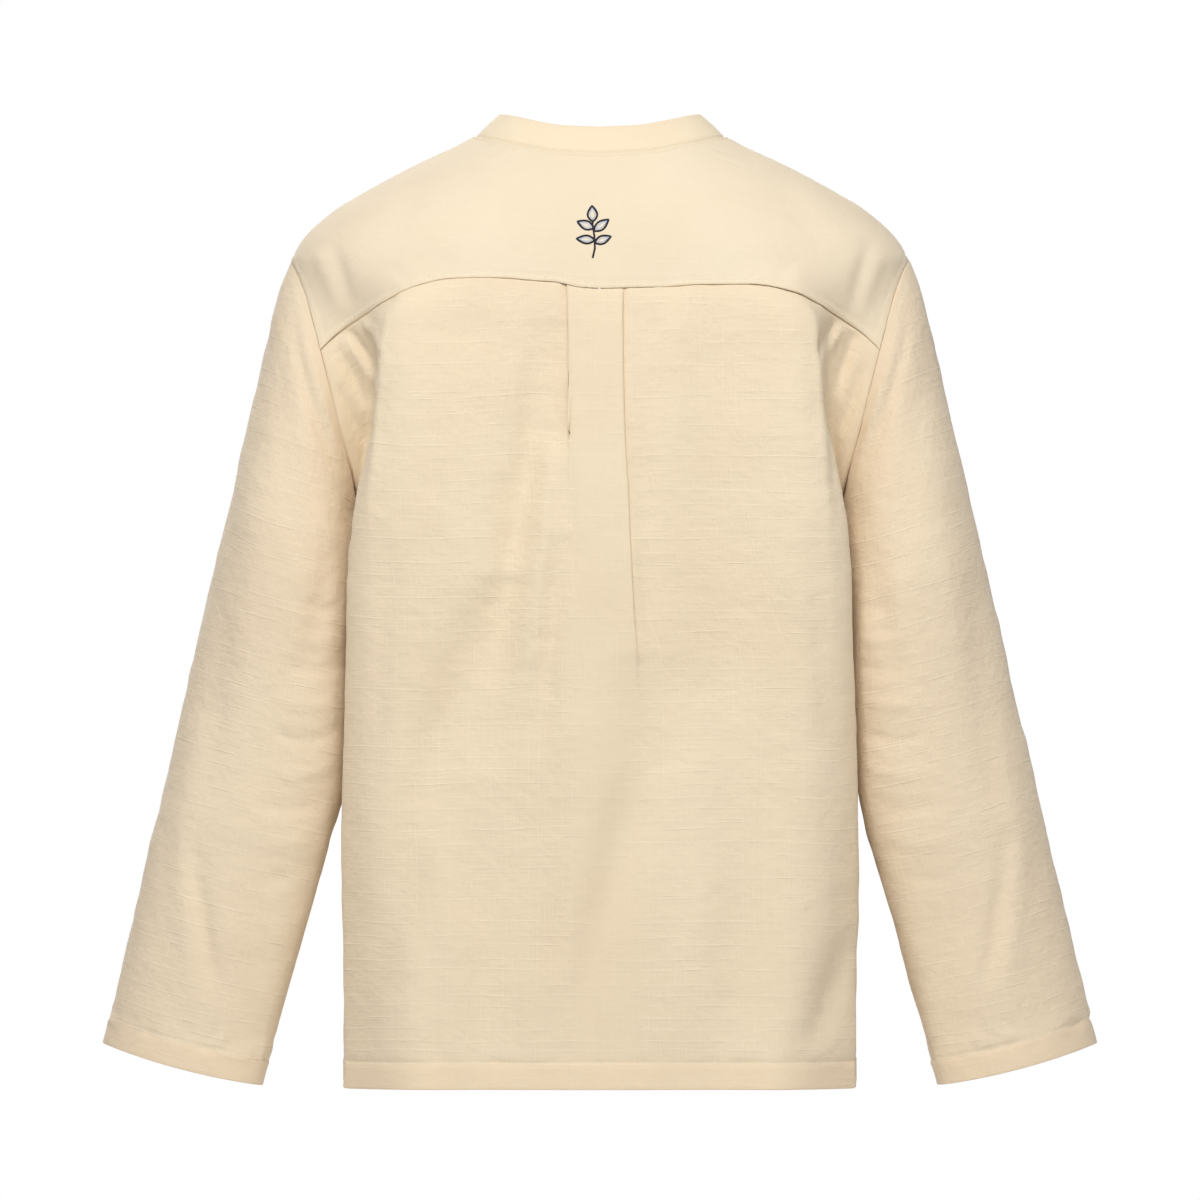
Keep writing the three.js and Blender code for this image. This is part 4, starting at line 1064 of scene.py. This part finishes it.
def sleeve(side):
    skin = Skin("sleeve_left" if side > 0 else "sleeve_right")
    row = steps(SLEEVE, SLIM_STEPS, hem_steps(SLEEVE_HEM))
    middle_z = (SLEEVE_ROWS["outerZ"] + SLEEVE_ROWS["innerZ"]) / 2
    lengths = (middle_z[0] - middle_z) / (middle_z[0] - middle_z[-1])
    row = np.interp(row, lengths, SLEEVE_ROWS["row"])
    half = steps(SLEEVE_HALF_GIRTH, (), (0.8, 2, 4)) * math.pi
    angle = np.concatenate((half, 2 * math.pi - half[-2::-1]))
    points = sleeve_point(angle[None, :], row[:, None])
    points[:, -1] = points[:, 0]
    points[..., 0] *= side
    hem = ease(CUFF_STITCH_ROW, CUFF_STITCH_ROW + 0.1, row)[:, None] + 0 * angle
    skin.grid(points, flip=side < 0, plain=0.5 * hem)
    skin.weld()
    stitch_hem(skin, SLEEVE_HEM, ABOVE_CUFF_Z)
    return skin


def collar_point(face, share, height):
    base = body_point(face, share, neck_z(face, share))
    toward = unit(np.stack((-base[..., 0], NECK_CENTRE_Y - base[..., 1], 0 * base[..., 0]), axis=-1))
    to_side = toward[..., 0] ** 2
    end = face["depth"]
    lean = lerp(COLLAR_LEAN[end], COLLAR_LEAN["side"], to_side)
    rise = lerp(COLLAR_RISE[end], COLLAR_RISE["side"], to_side)
    up = toward * lean[..., None] + np.stack((0 * rise, 0 * rise, rise), axis=-1)
    bulge = COLLAR_BULGE * 4 * height * (1 - height)
    return base + up * height[..., None] - toward * bulge[..., None]


def collar_band():
    skin = Skin("collar_band")
    down = steps(COLLAR_HEIGHT, (0.5, 1.2, 2), (0.4, 1, 1.8), 2)
    height = (1 - down * (1 - SEAM_GAP / COLLAR_HEIGHT))[:, None]
    front = lerp(SLIT_HALF_TOP * TO_SHARE, 1, steps(COLLAR_FRONT, (0.6, 1.8), (), FINE_GRID))[None, :]
    back = steps(COLLAR_BACK, (), (), FINE_GRID)[1:-1][None, ::-1]
    halves = [np.concatenate((collar_point(FRONT, side * front, height),
                              collar_point(BACK, side * back, height)), axis=1) for side in (1, -1)]
    centre = collar_point(BACK, 0 * height, height)
    points = np.concatenate((halves[0], centre, halves[1][:, ::-1]), axis=1)
    skin.grid(points, centre=halves[0].shape[1], plain=0.9)
    skin.weld()
    seam = tree_of(points[-1])
    skin.free_edge = np.array([seam.find(Vector(point))[2] > 1 for point in skin.P])
    skin.stitch_at = np.full(len(skin.P), -float(NO_STITCHES))
    return skin


# ---- Materials ----

class Nodes:
    """Short calls for the nodes of a material, or of the world."""

    def __init__(self, name, world=None):
        self.material = world or bpy.data.materials.new(name)
        self.material.use_nodes = True
        self.tree = self.material.node_tree
        self.shader = self.tree.nodes["Background" if world else "Principled BSDF"]

    def add(self, kind, links=(), **values):
        node = self.tree.nodes.new("ShaderNode" + kind)
        for key, value in values.items():
            setattr(node, key, value)
        for socket, source in dict(links).items():
            self.plug(node.inputs[socket], source)
        return node

    def plug(self, socket, source):
        if isinstance(source, bpy.types.NodeSocket):
            self.tree.links.new(source, socket)
        else:
            socket.default_value = source

    def shade(self, inputs):
        for socket, source in inputs.items():
            self.plug(self.shader.inputs[socket], source)

    def math(self, operation, a, b=0.0, c=0.0):
        return self.add("Math", {0: a, 1: b, 2: c}, operation=operation).outputs[0]

    def times(self, a, b):
        return self.math("MULTIPLY", a, b)

    def plus(self, a, b):
        return self.math("ADD", a, b)

    def range(self, value, low, high, to_low=0.0, to_high=1.0):
        links = {"Value": value, "From Min": low, "From Max": high, "To Min": to_low, "To Max": to_high}
        return self.add("MapRange", links, interpolation_type="SMOOTHSTEP").outputs[0]

    def noise(self, vector, scale, detail):
        links = {"Vector": vector, "Scale": scale, "Detail": detail}
        return self.add("TexNoise", links).outputs["Fac"]

    def cloth_noise(self, x, x_scale, y, y_scale, detail, seed=0.0):
        """Noise over two values, each at its own scale."""
        links = {0: self.times(x, x_scale), 1: self.times(y, y_scale), 2: seed}
        return self.noise(self.add("CombineXYZ", links).outputs[0], 1.0, detail)

    def attribute(self, name):
        return self.add("Attribute", attribute_name=name).outputs["Fac"]

    def mix(self, factor, a, b):
        node = self.add("Mix", data_type="RGBA")
        self.plug(node.inputs["Factor"], factor)
        self.plug(node.inputs[6], a)
        self.plug(node.inputs[7], b)
        return node.outputs[2]


def tinted(colour, red=1, green=1, blue=1):
    return tuple(min(1, c * k) for c, k in zip(colour, (red, green, blue))) + (1,)


# Raised lines in the gauze, in metres: whether they follow the crosswise threads, and how strongly they show.
# Besides their bump, they are painted paler and whiter as a painted highlight.
SLUBS = table(
    "crosswise spacing width seed strength",
    (1, 0.0088, 0.0009, 3, 1),
    (1, 0.0037, 0.0006, 11, 0.55),
    (0, 0.0086, 0.0009, 7, 0.55),
    (0, 0.0043, 0.0006, 19, 0.45),
)
WEAVE = 0.0011


def slub_lines(n, across, along, spacing, width, seed):
    """Raised lines that run along one thread direction, uneven in strength, spacing and length."""
    wander = n.cloth_noise(along, 11, across, 14, 1.0, seed)
    at = n.math("MULTIPLY_ADD", across, 1 / spacing, n.times(wander, 0.9))
    index = n.math("FLOOR", at)
    own = n.add("TexWhiteNoise", {"W": n.plus(index, seed)}, noise_dimensions="1D").outputs["Value"]
    place = n.math("MULTIPLY_ADD", own, 0.5, 0.25)
    part = n.math("SUBTRACT", n.math("FRACT", at), place)
    peak = n.range(n.math("ABSOLUTE", part), 0.0, width / spacing, 1.0, 0.0)
    run = n.cloth_noise(along, 34, index, 3.7, 1.0, seed)
    shown = n.times(n.range(run, 0.34, 0.66), n.math("MULTIPLY_ADD", own, 0.7, 0.35))
    return n.times(peak, shown)


def gauze(name, colour, crinkle):
    """Crinkled double gauze: slub lines both ways, puffed cells between them, plain weave and soft nap."""
    n = Nodes(name)
    threads = n.add("UVMap", uv_map="threads").outputs[0]
    split = n.add("SeparateXYZ", {0: threads})
    u, v = split.outputs[0], split.outputs[1]
    plain, edge, hem = (n.attribute(part) for part in ("plain", "edge", "hem"))
    rough = n.times(n.math("MULTIPLY_ADD", plain, -0.72, 1.0), crinkle)

    lines = 0.0
    for crosswise, spacing, width, seed, strength in zip(*SLUBS.values()):
        across, along = (v, u) if crosswise else (u, v)
        lines = n.math("MULTIPLY_ADD", slub_lines(n, across, along, spacing, width, seed), strength, lines)
    lines = n.times(lines, rough)
    cells = n.cloth_noise(u, 95, v, 120, 2.0)
    height = n.math("MULTIPLY_ADD", n.times(cells, rough), 1.8, n.times(lines, 0.44))

    over = n.times(*(n.math("SINE", n.times(thread, 2 * math.pi / WEAVE)) for thread in (u, v)))
    weave = n.plus(over, n.cloth_noise(u, 220, v, 2600, 1.0))

    crinkle_bump = n.add("Bump", {"Height": height, "Strength": 0.8, "Distance": 0.0008})
    weave_bump = n.add("Bump", {"Height": weave, "Strength": 0.35, "Distance": 0.00016,
                                "Normal": crinkle_bump.outputs[0]})

    shade = n.range(n.cloth_noise(u, 7, v, 5, 3.0, 2.0), 0.32, 0.68)
    base = n.mix(shade, tinted(colour, 0.965, 0.945, 0.94), tinted(colour))
    # Painted highlight: the raised lines are painted paler and whiter, as where their ridges catch the light.
    for part, share, tint in ((lines, 0.62, (1.07, 1.10, 1.15)), (hem, 0.7, (1.03, 0.985, 0.96)),
                              # Painted shade: the cloth within 5 mm of a seam or edge is darker and warmer.
                              (edge, 0.3, (0.93, 0.90, 0.86))):
        base = n.mix(n.times(part, share), base, tinted(colour, *tint))
    n.shade({"Normal": weave_bump.outputs[0], "Base Color": base,
             "Roughness": n.range(cells, 0.3, 0.7, 0.82, 0.96),
             "Specular IOR Level": 0.25, "Sheen Weight": 0.18, "Sheen Roughness": 0.45})
    return n.material


def thread_material(name, colour, sheen=0.2):
    """Sewing thread, with fine fibres that are uneven in shade."""
    n = Nodes(name)
    fibre = n.noise(n.add("TexCoord").outputs["Object"], 2600.0, 2.0)
    bump = n.add("Bump", {"Height": fibre, "Strength": 0.5, "Distance": 0.0001})
    n.shade({"Base Color": n.mix(fibre, tinted(colour, 0.82, 0.82, 0.82), tinted(colour, 1.08, 1.08, 1.08)),
             "Normal": bump.outputs[0], "Roughness": n.range(fibre, 0.3, 0.7, 0.45, 0.65),
             "Sheen Weight": sheen})
    return n.material


# ---- Sewing and embroidery ----

class Threads:
    """Many short stitches joined in one mesh. Each is a bowed tube that dips into the cloth at both ends."""

    RINGS = 4
    SIDES = 6

    def __init__(self):
        self.points = []
        self.quads = []
        self.count = 0

    def stitch(self, start, end, out, radius, bow):
        """start, end and out are vectors in millimetres."""
        along = unit(end - start)
        side = np.cross(out, along)
        for k in range(self.RINGS + 1):
            t = k / self.RINGS
            wide = radius * (0.55 + 0.45 * math.sin(math.pi * t))
            centre = lerp(start, end, t) + out * (bow * math.sin(math.pi * t) - 0.1)
            for i in range(self.SIDES):
                angle = 2 * math.pi * i / self.SIDES
                self.points.append(centre + wide * (math.cos(angle) * side + math.sin(angle) * out))
        first = self.count
        for k in range(self.RINGS):
            for i in range(self.SIDES):
                j = (i + 1) % self.SIDES
                a, b = first + k * self.SIDES, first + (k + 1) * self.SIDES
                self.quads.append((a + i, a + j, b + j, b + i))
        last = first + self.RINGS * self.SIDES
        for base, orders in ((first, ((3, 2, 1, 0), (5, 4, 3, 0))), (last, ((0, 1, 2, 3), (0, 3, 4, 5)))):
            self.quads += [tuple(base + i for i in order) for order in orders]
        self.count += (self.RINGS + 1) * self.SIDES

    def build(self, name, material, slot):
        o = mesh_object(name, np.array(self.points) * MM, np.array(self.quads))
        o.data.materials.append(material)
        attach(o, "root")
        return o


STITCH = 2.5
STITCH_GAP = 1.0
STITCH_RADIUS = 0.33
STITCH_BOW = 0.16


def surface_of(o):
    return BVHTree.FromObject(o, bpy.context.evaluated_depsgraph_get())


def on_surface(surface, point):
    """The nearest point of a piece's skin and the way out there, in millimetres."""
    place, normal, _, _ = surface.find_nearest(Vector(point) * MM)
    return np.array(place) / MM, np.array(normal)


def resample(path, spacing, first=0):
    """Points at even distances along a path."""
    along = arc_lengths(path, 0)
    at = np.arange(first, along[-1], spacing)
    return np.stack([np.interp(at, along, column) for column in path.T], axis=1)


def sew_seams(objects):
    threads = Threads()
    surface = {name: surface_of(o) for name, o in objects.items()}

    def sew(name, path, back=0):
        """A line of stitches along a path, moved back or forward to lie close outside the piece's skin."""
        points = resample(path + (0, back, 0), STITCH + STITCH_GAP)
        for here, there in zip(points, points[1:]):
            a, normal = on_surface(surface[name], here)
            b, _ = on_surface(surface[name], lerp(here, there, STITCH / (STITCH + STITCH_GAP)))
            if np.linalg.norm(b - a) > 0.5:
                threads.stitch(a, b, normal, STITCH_RADIUS, STITCH_BOW)

    share = np.linspace(0.995, -0.995, 400)
    sew("yoke", body_point(BACK, share, yoke_seam_z(share) + 3.9), 0.6)
    row = np.linspace(0.15, RIDGE_ROWS - 0.1, 120)
    for side in (1, -1):
        edge = side * (yoke_front["share"](row) + 0.018)
        sew("yoke", body_point(FRONT, edge, yoke_front["z"](row) + 2.2), -0.5)
    share = np.linspace(0.998, -0.998, 500)
    level = BODY_HEM_Z + BODY_HEM
    sew("back_panel", body_point(BACK, share, level, 1.0), 1)
    sew("front_panel", body_point(FRONT, share, level), -1)
    angle = np.linspace(0, 2 * math.pi, 300)
    for side, name in ((1, "sleeve_left"), (-1, "sleeve_right")):
        sew(name, sleeve_point(angle, CUFF_STITCH_ROW + 0 * angle) * (side, 1, 1))
    z = np.linspace(SLIT_STITCH_Z, SLIT_END_Z - SLIT_STITCH, 80)
    for side in (1, -1):
        sew("front_panel", body_point(FRONT, side * SLIT_STITCH * TO_SHARE, z), -0.5)
    share = np.linspace(-SLIT_STITCH, SLIT_STITCH, 12) * TO_SHARE
    for z in (SLIT_END_Z - SLIT_STITCH, SLIT_END_Z - 1.5):
        sew("front_panel", body_point(FRONT, share, z), -0.5)
    for face, start, end in ((BACK, -0.99, 0.99), (FRONT, 0.99, 0.03), (FRONT, -0.03, -0.99)):
        share = np.linspace(start, end, 200)
        sew("collar_band", collar_point(face, share, 0.09 + 0 * share))
    return threads.build("topstitching", thread_material("tunic_thread", BASE["thread"]), "thread")


MOTIF_X = 5
MOTIF_Z = -73
SATIN_STEP = 0.42
SATIN_ACROSS = 0.94  # the stitches' slant, as shares across and along the line that they cover
SATIN_ALONG = 0.34
SATIN_RADIUS = 0.3
SATIN_BOW = 0.3


def leaf_outline(base, tip, width):
    """A pointed leaf between two points, as a closed line."""
    t = np.linspace(0, 1, 26)
    along = np.array(tip) - np.array(base)
    across = np.array((-along[1], along[0])) / np.linalg.norm(along)
    swell = width * np.sin(np.pi * t ** 0.85)
    one, other = (np.array(base) + np.outer(t, along) + np.outer(k * swell, across) for k in (1, -1))
    return np.concatenate((one, other[::-1][1:]))


def satin(threads, surface, path, width, lift):
    """Close slanting stitches across a line drawn on the yoke's back, x and z in millimetres."""
    points = resample(path, SATIN_STEP, SATIN_STEP / 2)
    tangents = unit(np.gradient(points, axis=0))
    for (x, z), (tx, tz) in zip(points, tangents):
        ends = []
        for sign in (-1, 1):
            dx = sign * width / 2 * (-tz * SATIN_ACROSS + tx * SATIN_ALONG)
            dz = sign * width / 2 * (tx * SATIN_ACROSS + tz * SATIN_ALONG)
            guess = (MOTIF_X + x + dx, 100, MOTIF_Z + z + dz)
            hit = surface.ray_cast(Vector(guess) * MM, Vector((0, -1, 0)))
            ends.append((np.array(hit[0]) / MM, np.array(hit[1])))
        out = ends[0][1]
        threads.stitch(ends[0][0] + out * lift, ends[1][0] + out * lift, out, SATIN_RADIUS, SATIN_BOW)


def embroider(yoke_object):
    """A small sprig of outlined leaves: dark outlines with a paler line inside each."""
    surface = surface_of(yoke_object)
    dark, pale = Threads(), Threads()
    stem = [(0.5, -19.5), (-1.2, -12), (-0.8, -3), (0.6, 6), (0.4, 9)]
    t = np.linspace(0, 1, 40)
    knots = np.linspace(0, 1, len(stem))
    stem = np.stack([np.interp(t, knots, column) for column in np.array(stem).T], axis=1)
    satin(dark, surface, stem, 1.6, 0.05)
    leaves = (
        ((0.4, 8.0), (1.0, 19.8), 3.6),
        ((-0.6, 1.0), (-11.5, 9.5), 3.2),
        ((-0.2, 3.0), (12.0, 8.0), 3.2),
        ((-1.2, -8.0), (-13.2, -3.2), 3.0),
        ((-0.9, -6.0), (12.6, -5.0), 3.0),
    )
    for base, tip, width in leaves:
        satin(dark, surface, leaf_outline(base, tip, width), 1.7, 0.05)
        inner_base = lerp(np.array(base), np.array(tip), 0.16)
        inner_tip = lerp(np.array(base), np.array(tip), 0.86)
        satin(pale, surface, leaf_outline(inner_base, inner_tip, width - 1.7), 0.9, 0.02)
    dark.build("sprig_dark", thread_material("motif_navy", BASE["navy"], 0.0), "motif_dark")
    pale.build("sprig_pale", thread_material("motif_pale_blue", BASE["pale_blue"], 0.1), "motif_pale")


# ---- Studio ----

PHOTO_SCALE = 0.75 * MM  # metres a pixel
PHOTO_SIZE = 1200
PHOTO_ORIGIN_ROW = 135  # the row of the photograph at which z is 0
CAMERA_DISTANCE = 20
CENTRE_Z = (PHOTO_ORIGIN_ROW - PHOTO_SIZE / 2) * PHOTO_SCALE
OUTLINE_NEARER = 0.08  # how much nearer the camera than the origin the tunic's outline stands
FLOOR_Z = -1.45
FLOOR_REACH = 9
# How bright the surroundings are, from straight below, at 0, to straight above, at 1.
WORLD_STOPS = ((0.0, 0.13), (0.43, 0.16), (0.465, 1.0), (0.535, 1.0), (0.57, 0.24), (1.0, 0.38))
LAMPS = table(
    "x y z size power",
    (0.3, 2.3, 2.3, 0.9, 80),
    (-1.9, 4.6, 0.6, 1.8, 22),
    (0.8, -4.0, 2.2, 1.6, 96),
)


def set_camera():
    """The camera behind the tunic, level with its middle, as in the photograph."""
    scene = bpy.context.scene
    camera = bpy.data.cameras.new("camera")
    camera.sensor_width = 36
    camera.lens = camera.sensor_width * (CAMERA_DISTANCE - OUTLINE_NEARER) / (PHOTO_SIZE * PHOTO_SCALE)
    camera.clip_end = 60
    holder = add_object("camera", camera)
    holder.location = (0, CAMERA_DISTANCE, CENTRE_Z)
    holder.rotation_euler = (math.pi / 2, 0, math.pi)
    scene.camera = holder
    scene.view_settings.view_transform = "Standard"


def lay_floor():
    turns = ((-1, -1), (1, -1), (1, 1), (-1, 1))
    corners = np.array([(x * FLOOR_REACH, y * FLOOR_REACH, FLOOR_Z) for x, y in turns])
    floor = mesh_object("floor", corners, np.array([(0, 1, 2, 3)]))
    n = Nodes("floor_paint")
    n.shade({"Base Color": (0.88, 0.88, 0.87, 1), "Roughness": 0.9})
    floor.data.materials.append(n.material)


def set_world():
    """Surroundings that are white at the level of the camera and dimmer above and below."""
    world = bpy.data.worlds.new("studio")
    bpy.context.scene.world = world
    n = Nodes("studio", world)
    up = n.add("SeparateXYZ", {0: n.add("TexCoord").outputs["Generated"]}).outputs[2]
    ramp = n.add("ValToRGB", {0: n.math("MULTIPLY_ADD", up, 0.5, 0.5)})
    n.shade({"Color": ramp.outputs[0]})
    elements = ramp.color_ramp.elements
    while len(elements) < len(WORLD_STOPS):
        elements.new(0.5)
    for element, (position, level) in zip(elements, WORLD_STOPS):
        element.position = position
        element.color = (level, level, level * 1.005, 1)


def hang_lamps():
    for k, (x, y, z, size, power) in enumerate(zip(*LAMPS.values())):
        light = bpy.data.lights.new(f"softbox_{k}", "AREA")
        light.shape = "SQUARE"
        light.size = size
        light.energy = power
        lamp = add_object(f"softbox_{k}", light)
        lamp.location = (x, y, z)
        aim = Vector((0, 0, CENTRE_Z)) - lamp.location
        lamp.rotation_euler = aim.to_track_quat("-Z", "Y").to_euler()


# ---- The tunic ----

set_camera()
lay_floor()
set_world()
hang_lamps()
skins = [collar_band(), yoke(), back_panel(), front_panel(), sleeve(1), sleeve(-1)]
seam_directions(skins)
CLOTHS = {
    "body_cloth": gauze("tunic_body", BASE["body"], 0.9),
    "yoke_cloth": gauze("tunic_yoke", BASE["yoke"], 0.6),
    "collar_cloth": gauze("tunic_collar", BASE["collar"], 0.5),
    "sleeve_cloth": gauze("tunic_sleeve", BASE["sleeve"], 1.0),
}
CUTS = {
    "collar_band": ("collar_cloth", (0.50, 0.0265), 0.0132),
    "yoke": ("yoke_cloth", (0.545, 0.20), 0.075),
    "back_panel": ("body_cloth", (0.61, 0.615), 0.338),
    "front_panel": ("body_cloth", (0.56, 0.71), 0.356),
    "sleeve_left": ("sleeve_cloth", (0.43, 0.61), 0.196),
    "sleeve_right": ("sleeve_cloth", (0.43, 0.61), 0.196),
}
objects = {}
for skin in skins:
    slot, flat, area = CUTS[skin.name]
    objects[skin.name] = finish_skin(skin, CLOTHS[slot])
sew_seams(objects)
embroider(objects["yoke"])
